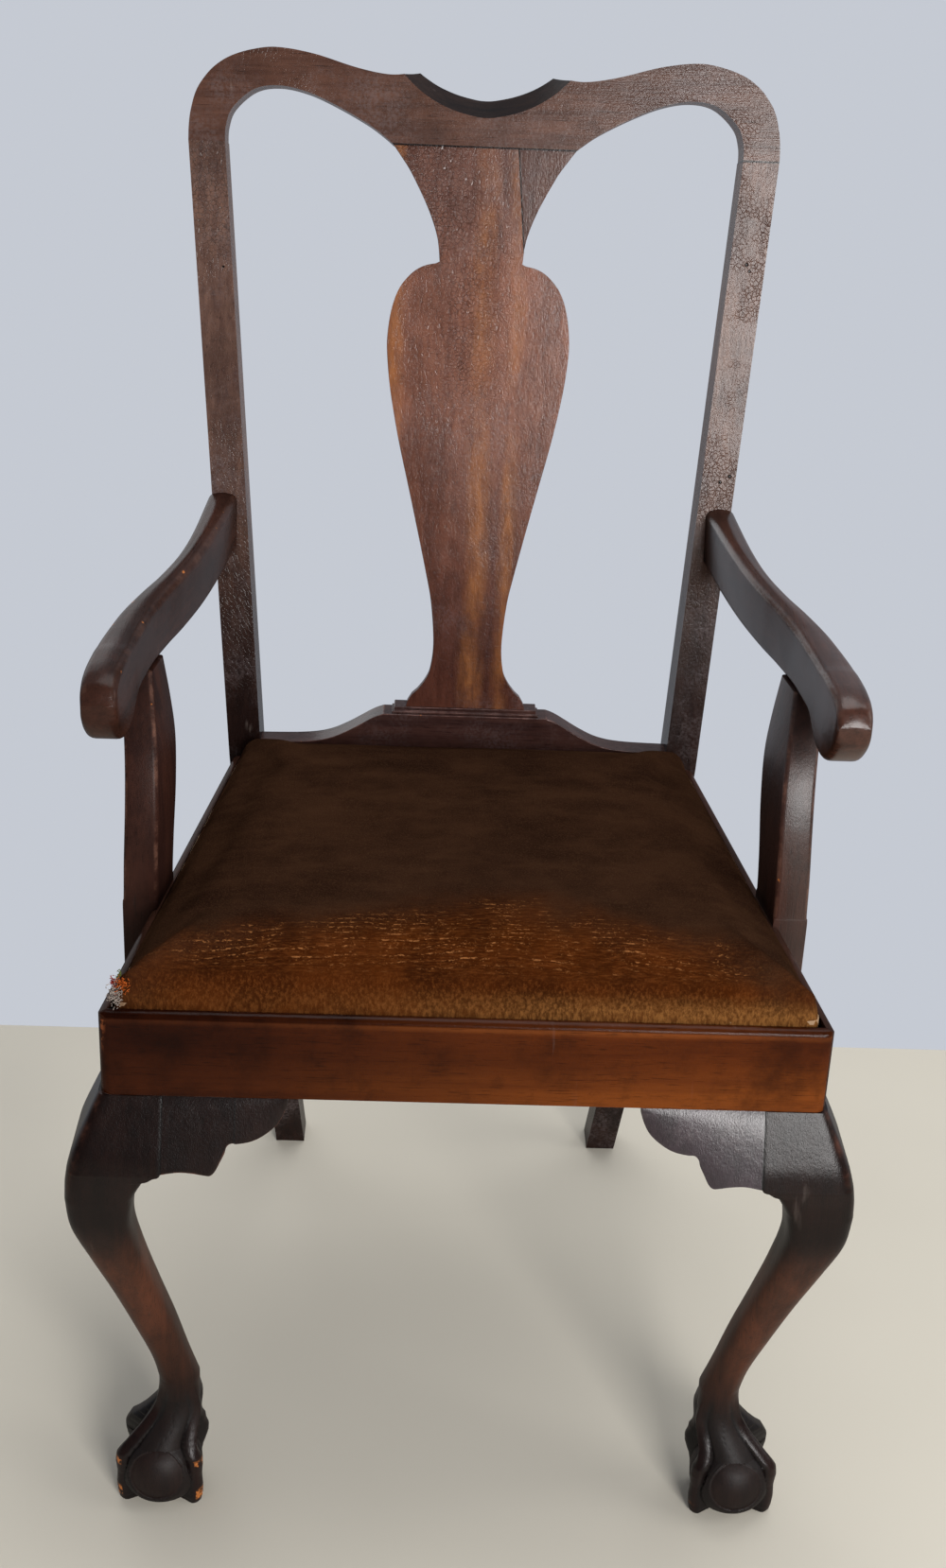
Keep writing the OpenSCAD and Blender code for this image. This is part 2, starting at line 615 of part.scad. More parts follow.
module side_bracket(side) color([0.2, 0.09, 0.08]) {
    rings = side_bracket_rings(bracket_shares);
    on_side(side) loft(rings, middle(rings[0]), middle(rings[len(rings) - 1]));
}
whole_bracket_shares = bracket_shares;
inner_bracket_shares = concat(bracket_piece(0, tip_share), [[tip_share, tip_down_share]]);
tip_bracket_shares = concat([[tip_share, tip_down_share]], bracket_piece(tip_share, 1));

// Arms: along from the nose to the stile, sweep inward, top, underside and width, all as shares
arm_shares = [[0, 1, 0.6, -1.64, 0.84], [0.006, 1, 0.72, -1, 0.9], [0.018, 1, 0.853, -0.5, 0.94],
    [0.04, 1, 0.932, 0.1, 0.96], [0.066, 0.996, 0.965, 0.6, 0.98], [0.1, 0.988, 0.975, 0.92, 1],
    [0.15, 0.974, 0.97, 0.92, 1], [0.185, 0.958, 0.95, 0.5, 1], [0.22, 0.94, 0.945, 0.08, 0.99],
    [0.28, 0.893, 0.945, 0, 0.96], [0.36, 0.81, 0.955, 0, 0.9], [0.45, 0.65, 0.985, 0, 0.8],
    [0.54, 0.46, 1.01, -0.02, 0.72], [0.66, 0.26, 1.045, -0.1, 0.69], [0.8, 0.12, 1.09, -0.22, 0.76],
    [1, 0, 1.147, -0.36, 0.9]];
arm_back_y = face_y(arm_level + arm_h);
arm_edge_share = 0.14;
arm_nose_share = 0.4;
arm_corner_steps = 2;
// A rectangle in the XZ plane with round corners
function round_box(x, w, low, high, r) = let (steps = arm_corner_steps) concat(
    arc(x + w / 2 - r, low + r, r, -90, 0, steps), arc(x + w / 2 - r, high - r, r, 0, 90, steps),
    arc(x - w / 2 + r, high - r, r, 90, 180, steps), arc(x - w / 2 + r, low + r, r, 180, 270, steps));
function arm_ring(s) =
    let (y = lerp(arm_front, arm_back_y, s[0]), x = lerp(arm_x_back, arm_x_front, s[1]),
        high = arm_level + s[2] * arm_h, low = arm_level - s[3] * arm_hook, w = s[4] * arm_w,
        r = min(arm_edge_share * arm_w, (high - low) * arm_nose_share))
    [for (p = round_box(x, w, low, high, r)) [p[0], s[0] < 1 ? y : face_y(p[1]), p[1]]];
arm_rings = [for (s = arm_shares) arm_ring(s)];
module arm_screw(grow) {
    z = arm_level + arm_h / 2;
    translate([arm_x_back, face_y(z) + arm_screw_start, z]) rotate([90, 0, 0]) wood_screw(arm_screw_l, grow);
}
// The screw's head lies below the stile's back face by the counterbore
arm_screw_start = (crest_t - counterbore) / cos(rake);
plug_r_share = 1.15;
module arm_plug_hole() {
    z = arm_level + arm_h / 2;
    translate([arm_x_back, face_y(z) + arm_screw_start, z]) rotate([-90, 0, 0])
        cylinder(h = stile_seat_t, r = screw_head_r * plug_r_share + fit);
}
module arm(side) color([0.24, 0.11, 0.09]) {
    on_side(side) difference() {
        loft_back(arm_rings, middle(arm_rings[0]), middle(arm_rings[len(arm_rings) - 1]));
        arm_screw(fit);
        support_dowel(fit);
    }
}
module arm_screws() color([0.5, 0.45, 0.35]) {
    for (side = [LEFT, RIGHT]) on_side(side) arm_screw(0);
}
module arm_plugs() color([0.3, 0.15, 0.1]) {
    z = arm_level + arm_h / 2;
    for (side = [LEFT, RIGHT]) on_side(side)
        translate([arm_x_back, face_y(z) + arm_screw_start, z]) rotate([-90, 0, 0])
            cylinder(h = counterbore - fit, r = screw_head_r * plug_r_share);
}

// Arm supports: height, sweep back, depth, outward lean, thickness and edge, all as shares
support_shares = [[0, 0, 1, 0, 1, 0.01], [0.26, 0, 1, 0, 1, 0.01], [0.3, 0, 1, -0.01, 1, 0.12],
    [0.43, 0, 1.07, -0.037, 0.99, 0.14], [0.6, 0.1, 1.16, -0.04, 0.97, 0.14],
    [0.75, 0.31, 1.16, 0.053, 0.95, 0.14], [0.87, 0.615, 1, 0.253, 0.93, 0.14],
    [1, 1, 0.73, 0.516, 0.92, 0.14]];
support_low = rail_bot + support_foot;
function support_ring(s) =
    let (z = lerp(support_low, arm_level, s[0]), front = support_y + s[1] * support_sweep,
        back = front + s[2] * support_w, lean = s[3] * support_t, w = s[4] * support_t / cos(side_angle),
        e = s[5] * support_t, slope = tan(side_angle))
    [for (p = [[0, front + e], [e, front], [w - e, front], [w, front + e],
            [w, back - e], [w - e, back], [e, back], [0, back - e]])
        [side_x(p[1], support_let_in) + lean + p[0], p[1], z]];
support_rings = [for (s = support_shares) support_ring(s)];
module support_housing() {
    translate([0, 0, support_low]) linear_extrude(rail_h)
        polygon([[side_x(support_y, support_let_in), support_y],
            [side_x(support_y, -cut), support_y],
            [side_x(support_y + support_w, -cut), support_y + support_w],
            [side_x(support_y + support_w, support_let_in), support_y + support_w]]);
}
// Two screws from inside the side rail, one above the other
module support_screw_pair(grow) {
    x = (support_y + support_w / 2) / cos(side_angle);
    along_side_rail() for (share = [1 / 4, 3 / 4])
        translate([x, rail_t + grow, lerp(rail_bot, ledge_z, share)])
            rotate([90, 0, 0]) wood_screw(screw_l, grow);
}
module support_dowel(grow) {
    s = support_shares[len(support_shares) - 1];
    y = support_y + support_sweep + s[2] * support_w / 2;
    x = side_x(y, support_let_in) + s[3] * support_t + s[4] * support_t / 2;
    translate([x, y, arm_level - dowel_l / 2 - grow]) cylinder(h = dowel_l + 2 * grow, r = dowel_r + grow);
}
module arm_support(side) color([0.24, 0.11, 0.09]) {
    on_side(side) difference() {
        loft(support_rings, middle(support_rings[0]), middle(support_rings[len(support_rings) - 1]));
        support_screw_pair(fit);
        support_dowel(fit);
    }
}
module support_screws() color([0.5, 0.45, 0.35]) {
    for (side = [LEFT, RIGHT]) on_side(side) support_screw_pair(0);
}
module support_dowels() color([0.7, 0.55, 0.35]) {
    for (side = [LEFT, RIGHT]) on_side(side) support_dowel(0);
}

// Corner blocks behind the rails' corners
block_screw_share = 0.7;
block_seat_share = 0.18;
// Distance of a block screw's head from the rail's inner face
block_seat = block_l * block_seat_share;
module front_block_plan() {
    in = bracket_start;
    cx = side_x(rail_t, rail_t);
    polygon([[half_w - in, rail_t], [half_w - in, in], [side_x(in, rail_t), in],
        [side_x(rail_t + block_l, rail_t), rail_t + block_l], [cx - block_l, rail_t]]);
}
module back_block_plan() {
    polygon([[side_x(seat_d, rail_t), seat_d], [side_x(seat_d, rail_t) - block_l, seat_d],
        [side_x(seat_d - block_l, rail_t), seat_d - block_l]]);
}
module screw_from(x, y, turn, grow) {
    translate([x, y, block_top - block_h / 2]) rotate([90, 0, turn]) wood_screw(screw_l - rail_t / 2, grow);
}
module screw_seat(x, y, turn) {
    translate([x, y, block_top - block_h / 2]) rotate([-90, 0, turn])
        cylinder(h = block_l, r = screw_head_r + 2 * fit);
}
front_screw_x = side_x(rail_t, rail_t) - block_l * block_screw_share;
front_screw_y = rail_t + block_l * block_screw_share;
back_screw_y = seat_d - block_l * block_screw_share;
module front_block_screws(grow) {
    screw_from(front_screw_x, rail_t + block_seat, 0, grow);
    screw_from(side_x(front_screw_y, rail_t + block_seat), front_screw_y, 90 + side_angle, grow);
}
module front_block_seats() {
    screw_seat(front_screw_x, rail_t + block_seat, 0);
    screw_seat(side_x(front_screw_y, rail_t + block_seat), front_screw_y, 90 + side_angle);
}
module back_block_screws(grow) {
    screw_from(side_x(back_screw_y, rail_t + block_seat), back_screw_y, 90 + side_angle, grow);
}
module back_block_seats() {
    screw_seat(side_x(back_screw_y, rail_t + block_seat), back_screw_y, 90 + side_angle);
}
module block_body() {
    translate([0, 0, block_top - block_h]) linear_extrude(block_h) children();
}
module corner_block_front(side) color([0.45, 0.3, 0.2]) {
    on_side(side) difference() {
        block_body() front_block_plan();
        front_block_screws(fit);
        front_block_seats();
    }
}
module corner_block_back(side) color([0.45, 0.3, 0.2]) {
    on_side(side) difference() {
        block_body() back_block_plan();
        back_block_screws(fit);
        back_block_seats();
    }
}
module corner_screws() color([0.5, 0.45, 0.35]) {
    for (side = [LEFT, RIGHT]) on_side(side) {
        front_block_screws(0);
        back_block_screws(0);
    }
}

// Drop-in seat: plan outlines with round corners, inset from the seat's edge
seat_rest_gap = 0.3;
seat_low = ledge_z + seat_rest_gap;
seat_edge = seat_lip + seat_gap;
seat_frame_low = seat_low + cloth_t;
seat_frame_top = seat_frame_low + seat_frame_t;
corner_steps = 4;
edge_steps = 8;
function corner(y, inset, r, from, to) = arc(side_x(y, seat_edge + inset + r), y, r, from, to, corner_steps);
// Points between two corners, drawn in towards the seat's middle
function edge(p, q, draw) = [for (i = [1 : edge_steps - 1]) let (t = i / edge_steps,
    side_dir = [p[1] - q[1], q[0] - p[0]] / norm(q - p)) lerp(p, q, t) + draw * sin(180 * t) * side_dir];
function seat_outline(inset, draw) =
    let (rf = max(seat_r_front - inset, cloth_t), rb = max(seat_r_back - inset, cloth_t),
        f = corner(seat_edge + inset + rf, inset, rf, -90, side_angle),
        b = corner(seat_d - seat_gap - inset - rb, inset, rb, side_angle, 90),
        bm = mirrored_points(b), fm = mirrored_points(f))
    concat(f, edge(f[corner_steps], b[0], draw), b, edge(b[corner_steps], bm[0], draw),
        bm, edge(bm[corner_steps], fm[0], draw), fm, edge(fm[corner_steps], f[0], draw));
seat_middle = [0, (seat_edge + seat_d) / 2];
function ring_at(outline, z) = [for (p = outline) [p[0], p[1], z]];

cushion_edge_z = rail_top + cushion_h;
// Inset and height of the cushion's rolled edge, as shares of the cushion's height
roll_shares = [[0, 0.3], [0.02, 0.55], [0.1, 0.78], [0.26, 0.92], [0.5, 0.98], [0.8, 1]];
// Size of each inner ring of the top, as a share of the rolled edge's ring
top_shares = [0.86, 0.66, 0.44, 0.2];
roll_inset_max = roll_shares[len(roll_shares) - 1][0];
// The sides are straight up to the first ring, so that they stay clear of the seat frame
draw_from = roll_shares[0][1];
function roll_ring(s, skin) =
    let (in = s[0] * cushion_h + skin, draw = side_draw * (s[1] - draw_from) / (1 - draw_from))
    ring_at(seat_outline(in, draw), rail_top + s[1] * cushion_h - skin * s[1]);
function top_ring(share, skin) = [for (p = seat_outline(roll_inset_max * cushion_h + skin, side_draw))
    let (q = seat_middle + (p - seat_middle) * share) [q[0], q[1], crown_z(share) - skin]];
function crown_z(share) = cushion_edge_z + crown_h * (1 - share * share);
function cushion_rings(skin) = concat([for (s = roll_shares) roll_ring(s, skin)],
    [for (share = top_shares) top_ring(share, skin)]);
function cushion_peak(skin) = [seat_middle[0], seat_middle[1], crown_z(0) - skin];
module seat_cover() color([0.2, 0.12, 0.06]) {
    hem = seat_outline(hem_w, 0);
    inner_side = seat_outline(cloth_t, 0);
    inner = reversed(cushion_rings(cloth_t));
    loft(concat(inner, [ring_at(inner_side, seat_frame_low - fit), ring_at(hem, seat_frame_low - fit),
            ring_at(hem, seat_low), ring_at(seat_outline(0, 0), seat_low)], cushion_rings(0)),
        cushion_peak(cloth_t), cushion_peak(0));
}
stuffing_gap = 0.2;
frame_gap = 0.15;
hessian_t = 0.6;
stuffing_low = seat_frame_top + 2 * web_t + hessian_t;
module seat_stuffing() color([0.75, 0.68, 0.5]) {
    skin = cloth_t + stuffing_gap;
    rings = concat([ring_at(seat_outline(skin, 0), stuffing_low)], cushion_rings(skin));
    loft(rings, [seat_middle[0], seat_middle[1], stuffing_low], cushion_peak(skin));
}
module frame_plan() {
    polygon(seat_outline(cloth_t + frame_gap, 0));
}
frame_front_y = seat_edge + cloth_t;
frame_back_y = seat_d - seat_gap - cloth_t;
// The seat frame's members: front and back run right across, the sides are lapped under them
module seat_frame_band(from, to, low, high) {
    intersection() {
        translate([0, 0, low]) linear_extrude(high - low) frame_plan();
        translate([-half_w, from, low]) cube([front_w, to - from, high - low]);
    }
}
module seat_frame_cross(from, to) color([0.55, 0.4, 0.25]) {
    difference() {
        seat_frame_band(from, to, seat_frame_low, seat_frame_top);
        for (side = [LEFT, RIGHT]) on_side(side) side_member(fit);
        tack_holes();
    }
}
module side_member(grow) {
    inner = seat_edge + cloth_t + seat_frame_w;
    lap_z = seat_frame_low + seat_frame_t / 2 + grow;
    difference() {
        translate([0, 0, seat_frame_low - (grow > 0 ? cut : 0)])
            linear_extrude(seat_frame_t + (grow > 0 ? cut : 0)) intersection() {
                if (grow > 0) square([front_w, 2 * seat_d]);
                else frame_plan();
                polygon([[side_x(0, inner + grow), 0], [front_w, 0], [front_w, 2 * seat_d],
                    [side_x(2 * seat_d, inner + grow), 2 * seat_d]]);
            }
        translate([0, 0, lap_z]) cube([front_w, frame_front_y + seat_frame_w, seat_frame_t]);
        translate([0, frame_back_y - seat_frame_w, lap_z]) cube([front_w, 2 * seat_frame_w, seat_frame_t]);
    }
}
module seat_frame_side(side) color([0.55, 0.4, 0.25]) {
    difference() {
        on_side(side) side_member(0);
        tack_holes();
    }
}
tack_head_r = 2.2;
tack_r = 0.7;
tack_l = 5;
tack_head_t = 0.5;
dust_inset = hem_w + 2;
dust_t = 0.6;
tack_inset = dust_inset + 2 * tack_head_r;
dust_low = seat_frame_low - dust_t;
tack_places = let (f = seat_outline(tack_inset, 0)) [for (k = [0 : 3]) let (
        from = f[k * (corner_steps + edge_steps) + corner_steps],
        to = f[((k + 1) * (corner_steps + edge_steps)) % len(f)])
    each [for (i = [0 : tack_count - 1]) lerp(from, to, (i + 1 / 2) / tack_count)]];
module tack_holes() {
    for (p = tack_places) translate([p[0], p[1], dust_low - cut])
        cylinder(h = tack_l + cut + fit, r = tack_r + fit);
}
module dust_cover_tacks() color([0.15, 0.15, 0.16]) {
    for (p = tack_places) {
        translate([p[0], p[1], dust_low - tack_head_t]) cylinder(h = tack_head_t, r = tack_head_r);
        translate([p[0], p[1], dust_low - tack_head_t]) cylinder(h = tack_head_t + tack_l, r = tack_r);
    }
}
module dust_cover() color([0.08, 0.08, 0.08]) {
    difference() {
        translate([0, 0, dust_low]) linear_extrude(dust_t) polygon(seat_outline(dust_inset, 0));
        tack_holes();
    }
}
web_margin = 6;
module strap_clip() {
    polygon(seat_outline(cloth_t + web_margin, 0));
}
module strap(low) {
    translate([0, 0, low]) linear_extrude(web_t) intersection() {
        strap_clip();
        children();
    }
}
function strap_place(i) = (i + 1 / 2) / web_count;
module webbing_long() color([0.7, 0.62, 0.45]) {
    span = 2 * side_x(seat_d, rail_t + seat_frame_w / 2);
    for (i = [0 : web_count - 1]) strap(seat_frame_top)
        translate([span * (strap_place(i) - 1 / 2) - web_w / 2, 0]) square([web_w, seat_d]);
}
module webbing_cross() color([0.7, 0.62, 0.45]) {
    for (i = [0 : web_count - 1]) strap(seat_frame_top + web_t)
        translate([-half_w, seat_d * strap_place(i) - web_w / 2]) square([front_w, web_w]);
}
module hessian() color([0.65, 0.55, 0.38]) {
    translate([0, 0, seat_frame_top + 2 * web_t]) linear_extrude(hessian_t) strap_clip();
}

// The origin lies on the floor, below the middle of the chair's depth
front_y = min([for (ring = leg_rings) each [for (p = ring) p[1]]]);
back_y = face_y(chair_h) + crest_t * cos(rake);
module placed() {
    translate([0, -(front_y + back_y) / 2, 0]) children();
}

placed() crest_rail();
placed() splat();
placed() splat_ear();
placed() shoe_plinth();
placed() splat_shoe();
placed() back_rail();
placed() seat_cleat();
placed() stile(LEFT);  // stile_left
placed() stile(RIGHT);  // stile_right
placed() front_rail();
placed() side_rail(LEFT);  // side_rail_left
placed() side_rail(RIGHT);  // side_rail_right
placed() front_leg(LEFT);  // front_leg_left
placed() front_leg(RIGHT);  // front_leg_right
placed() front_bracket(LEFT, inner_bracket_shares);  // knee_bracket_front_left
placed() front_bracket(LEFT, tip_bracket_shares);  // bracket_tip_front_left
placed() front_bracket(RIGHT, whole_bracket_shares);  // knee_bracket_front_right
placed() side_bracket(LEFT);  // knee_bracket_side_left
placed() side_bracket(RIGHT);  // knee_bracket_side_right
placed() arm(LEFT);  // arm_left
placed() arm(RIGHT);  // arm_right
placed() arm_support(LEFT);  // arm_support_left
placed() arm_support(RIGHT);  // arm_support_right
placed() corner_block_front(LEFT);  // corner_block_front_left
placed() corner_block_front(RIGHT);  // corner_block_front_right
placed() corner_block_back(LEFT);  // corner_block_back_left
placed() corner_block_back(RIGHT);  // corner_block_back_right
placed() corner_screws();
placed() crest_dowels();
placed() arm_screws();
placed() arm_plugs();
placed() support_screws();
placed() support_dowels();
placed()  // seat_frame_front
    seat_frame_cross(frame_front_y, frame_front_y + seat_frame_w);
placed()  // seat_frame_back
    seat_frame_cross(frame_back_y - seat_frame_w, frame_back_y);
placed() seat_frame_side(LEFT);  // seat_frame_left
placed() seat_frame_side(RIGHT);  // seat_frame_right
placed() webbing_long();
placed() webbing_cross();
placed() hessian();
placed() seat_stuffing();
placed() seat_cover();
placed() dust_cover();
placed() dust_cover_tacks();
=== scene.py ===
import math
import random

import bmesh
import bpy
import numpy as np
from mathutils import Matrix, Vector, noise


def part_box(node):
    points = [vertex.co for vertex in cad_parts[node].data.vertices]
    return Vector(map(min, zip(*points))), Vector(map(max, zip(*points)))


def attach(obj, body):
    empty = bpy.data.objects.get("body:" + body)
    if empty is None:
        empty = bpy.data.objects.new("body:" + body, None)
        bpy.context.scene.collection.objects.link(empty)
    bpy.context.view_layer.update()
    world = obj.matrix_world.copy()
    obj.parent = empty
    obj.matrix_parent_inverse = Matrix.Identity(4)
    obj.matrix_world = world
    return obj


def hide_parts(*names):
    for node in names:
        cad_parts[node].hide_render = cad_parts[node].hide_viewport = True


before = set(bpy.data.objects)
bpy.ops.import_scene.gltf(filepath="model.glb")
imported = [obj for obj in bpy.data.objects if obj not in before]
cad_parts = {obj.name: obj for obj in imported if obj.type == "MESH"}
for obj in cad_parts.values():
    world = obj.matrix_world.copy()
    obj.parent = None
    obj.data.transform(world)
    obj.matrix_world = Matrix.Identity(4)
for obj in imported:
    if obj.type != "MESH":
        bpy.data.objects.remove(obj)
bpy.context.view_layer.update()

# the velvet's pile from its ground to its tips, the same where it is rubbed to rust, and its creases and paler foot
OLIVE_DARK, OLIVE = (0.016, 0.0066, 0.0038), (0.034, 0.0148, 0.0075)
OLIVE_LIGHT, OLIVE_TIP = (0.052, 0.0235, 0.0115), (0.07, 0.035, 0.0175)
RUST_DARK, RUST, RUST_TIP = (0.026, 0.0065, 0.0018), (0.064, 0.0155, 0.003), (0.14, 0.042, 0.01)
CREASE, GOLD = (0.42, 0.17, 0.055), (0.22, 0.096, 0.027)

MM = 0.001
WELD = 2e-6            # vertices nearer than this, in metres, are one
MID = 0.20558          # the CAD's origin lies this far behind the front rail's face
RAKE = math.radians(11.8)
UP_BACK = Vector((0, math.sin(RAKE), math.cos(RAKE)))
# the chair's main sizes in millimetres, as in the CAD; Y is measured here from the front rail's face
SIDES = {-1: "left", 1: "right"}
LEFT, RIGHT = SIDES
HALF_W, SEAT_D = 190.0, 317.0
BACK_W, CREST_W, CREST_H, CREST_T = 302.0, 358.0, 54.0, 24.0
CHAIR_H, RAIL_TOP, RAIL_BOT = 767.0, 341.0, 292.0
JOINT_Z = CHAIR_H - CREST_H
STILE_LOW, STILE_W = 20.4, 22.0
SPREAD = (CREST_W - BACK_W) / 2 / (JOINT_Z - RAIL_TOP)


def stile_out(z):
    return BACK_W / 2 + (z - RAIL_TOP) * SPREAD


def stile_in(z):
    t = max(0.0, (z - RAIL_TOP) / (JOINT_Z - RAIL_TOP))
    return stile_out(z) - (STILE_LOW + (STILE_W - STILE_LOW) * t)


SIDE = math.atan((HALF_W - stile_out((RAIL_TOP + RAIL_BOT) / 2)) / SEAT_D)


def face_y(z):
    return SEAT_D + max(0.0, z - RAIL_TOP) * math.tan(RAKE)


def side_x(y, inset):
    return HALF_W - inset / math.cos(SIDE) - y * math.tan(SIDE)


def lerp(a, b, t):
    return a + (b - a) * t


def curve(points, steps):
    """The CAD's smooth curve through points, drawn finer."""
    p = np.array(points, float)
    n = len(p) - 1
    out = []
    for i in range(n):
        a, b, c, d = p[max(i - 1, 0)], p[i], p[i + 1], p[min(i + 2, n)]
        for s in range(steps):
            t = s / steps
            square, cube = 2 * a - 5 * b + 4 * c - d, 3 * b - a - 3 * c + d
            out.append((2 * b + (c - a) * t + square * t * t + cube * t ** 3) / 2)
    out.append(p[n])
    return np.array(out)


def line(points, steps):
    return [tuple(p) for p in curve(points, steps)]


def mirrored(points):
    return [(-x, y) for x, y in reversed(points)]


def row_frame(x, y, z):
    """Millimetres from the front rail's face, as a point in metres in the frame of the CAD."""
    return Vector((x, y - MID / MM, z)) * MM


def times(colour, k):
    return tuple(c * k for c in colour)


def new_object(name, data):
    o = bpy.data.objects.new(name, data)
    bpy.context.scene.collection.objects.link(o)
    return o


# ---- camera, light and floor -------------------------------------------------------------------

# fitted to the photograph: tilt, turn and roll in degrees, place in metres, focal length in the photo's pixels
CAMERA_TILT, CAMERA_TURN, CAMERA_ROLL = 25.3, 1.8, 2.5
CAMERA_AT = (-0.0315, -0.9069 - MID, 0.905)
FOCAL, PHOTO_H, SENSOR = 2200, 1658, 36
SKY_LIGHT, SKY_STRENGTH = (0.86, 0.9, 1.0, 1), 0.32
ROOM_COLOUR, WALL_COLOUR = (0.1, 0.1, 0.105, 1), (0.56, 0.59, 0.65, 1)
FLOOR_REACH, FLOOR_END = 3, 0.527 - MID


def make_camera():
    th, psi, roll = (math.radians(a) for a in (CAMERA_TILT, CAMERA_TURN, CAMERA_ROLL))
    fwd = Vector((math.sin(psi) * math.cos(th), math.cos(psi) * math.cos(th), -math.sin(th)))
    right = Vector((math.cos(psi), -math.sin(psi), 0))
    down = fwd.cross(right)
    x = math.cos(roll) * right - math.sin(roll) * down
    y = -(math.sin(roll) * right + math.cos(roll) * down)
    m = Matrix((x, y, -fwd)).transposed().to_4x4()
    m.translation = Vector(CAMERA_AT)
    data = bpy.data.cameras.new("camera")
    data.lens = SENSOR * FOCAL / PHOTO_H
    data.clip_start = 0.01
    cam = new_object("camera", data)
    cam.matrix_world = m
    bpy.context.scene.camera = cam


def area_light(name, at, to, size, watts, colour=(1, 1, 1)):
    data = bpy.data.lights.new(name, "AREA")
    data.shape = "RECTANGLE"
    data.size, data.size_y = size
    data.energy = watts
    data.color = colour
    o = new_object(name, data)
    o.location = at
    o.rotation_mode = "QUATERNION"
    o.rotation_quaternion = (Vector(to) - Vector(at)).to_track_quat("-Z", "Y")


def fill(tree, n, inputs):
    """Links or sets a node's inputs, by name or, as _3, by number."""
    for k, v in inputs.items():
        socket = n.inputs[int(k[1:])] if k[0] == "_" else n.inputs[k.replace("_", " ")]
        if isinstance(v, bpy.types.NodeSocket):
            tree.links.new(v, socket)
        else:
            socket.default_value = v


def node(tree, kind, settings=None, **inputs):
    n = tree.nodes.new(kind)
    for k, v in (settings or {}).items():
        setattr(n, k, v)
    fill(tree, n, inputs)
    return n


def backdrop():
    """A pale wall for the camera, and soft light from all around for the chair."""
    world = bpy.data.worlds.new("world")
    bpy.context.scene.world = world
    world.use_nodes = True
    t = world.node_tree
    t.nodes.clear()

    def put(kind, settings=None, **inputs):
        return node(t, kind, settings, **inputs).outputs[0]

    path = node(t, "ShaderNodeLightPath").outputs
    camera, larger = path["Is Camera Ray"], {"operation": "MAXIMUM"}
    seen = put("ShaderNodeMath", larger, _0=camera, _1=path["Is Glossy Ray"])
    seen = put("ShaderNodeMath", larger, _0=seen, _1=path["Is Transmission Ray"])
    light = put("ShaderNodeBackground", Color=SKY_LIGHT, Strength=SKY_STRENGTH)
    # reflections see the same pale wall behind the chair, and a dimmer room in front of it
    way = node(t, "ShaderNodeSeparateXYZ", Vector=node(t, "ShaderNodeTexCoord").outputs["Generated"])
    behind = put("ShaderNodeMapRange", {"interpolation_type": "SMOOTHSTEP"}, Value=way.outputs[1],
                 From_Min=-0.25, From_Max=0.35)
    pale = put("ShaderNodeMath", larger, _0=camera, _1=behind)
    tone = node(t, "ShaderNodeMix", {"data_type": "RGBA"}, _0=pale, _6=ROOM_COLOUR, _7=WALL_COLOUR)
    wall = put("ShaderNodeBackground", Color=tone.outputs[2], Strength=1.0)
    node(t, "ShaderNodeOutputWorld", Surface=put("ShaderNodeMixShader", _0=seen, _1=light, _2=wall))


def make_floor():
    """A plain pale floor that ends where the wall begins in the photograph."""
    mesh = bpy.data.meshes.new("floor")
    r, end = FLOOR_REACH, FLOOR_END
    mesh.from_pydata([(-r, -r, 0), (r, -r, 0), (r, end, 0), (-r, end, 0)], [], [(0, 1, 2, 3)])
    floor = new_object("floor", mesh)
    s = Surface("floor")
    mesh.materials.append(s.end(s.mix(s.noise(s.where, 3), (0.56, 0.525, 0.44), (0.64, 0.6, 0.51)), 0.9))


# ---- materials ---------------------------------------------------------------------------------

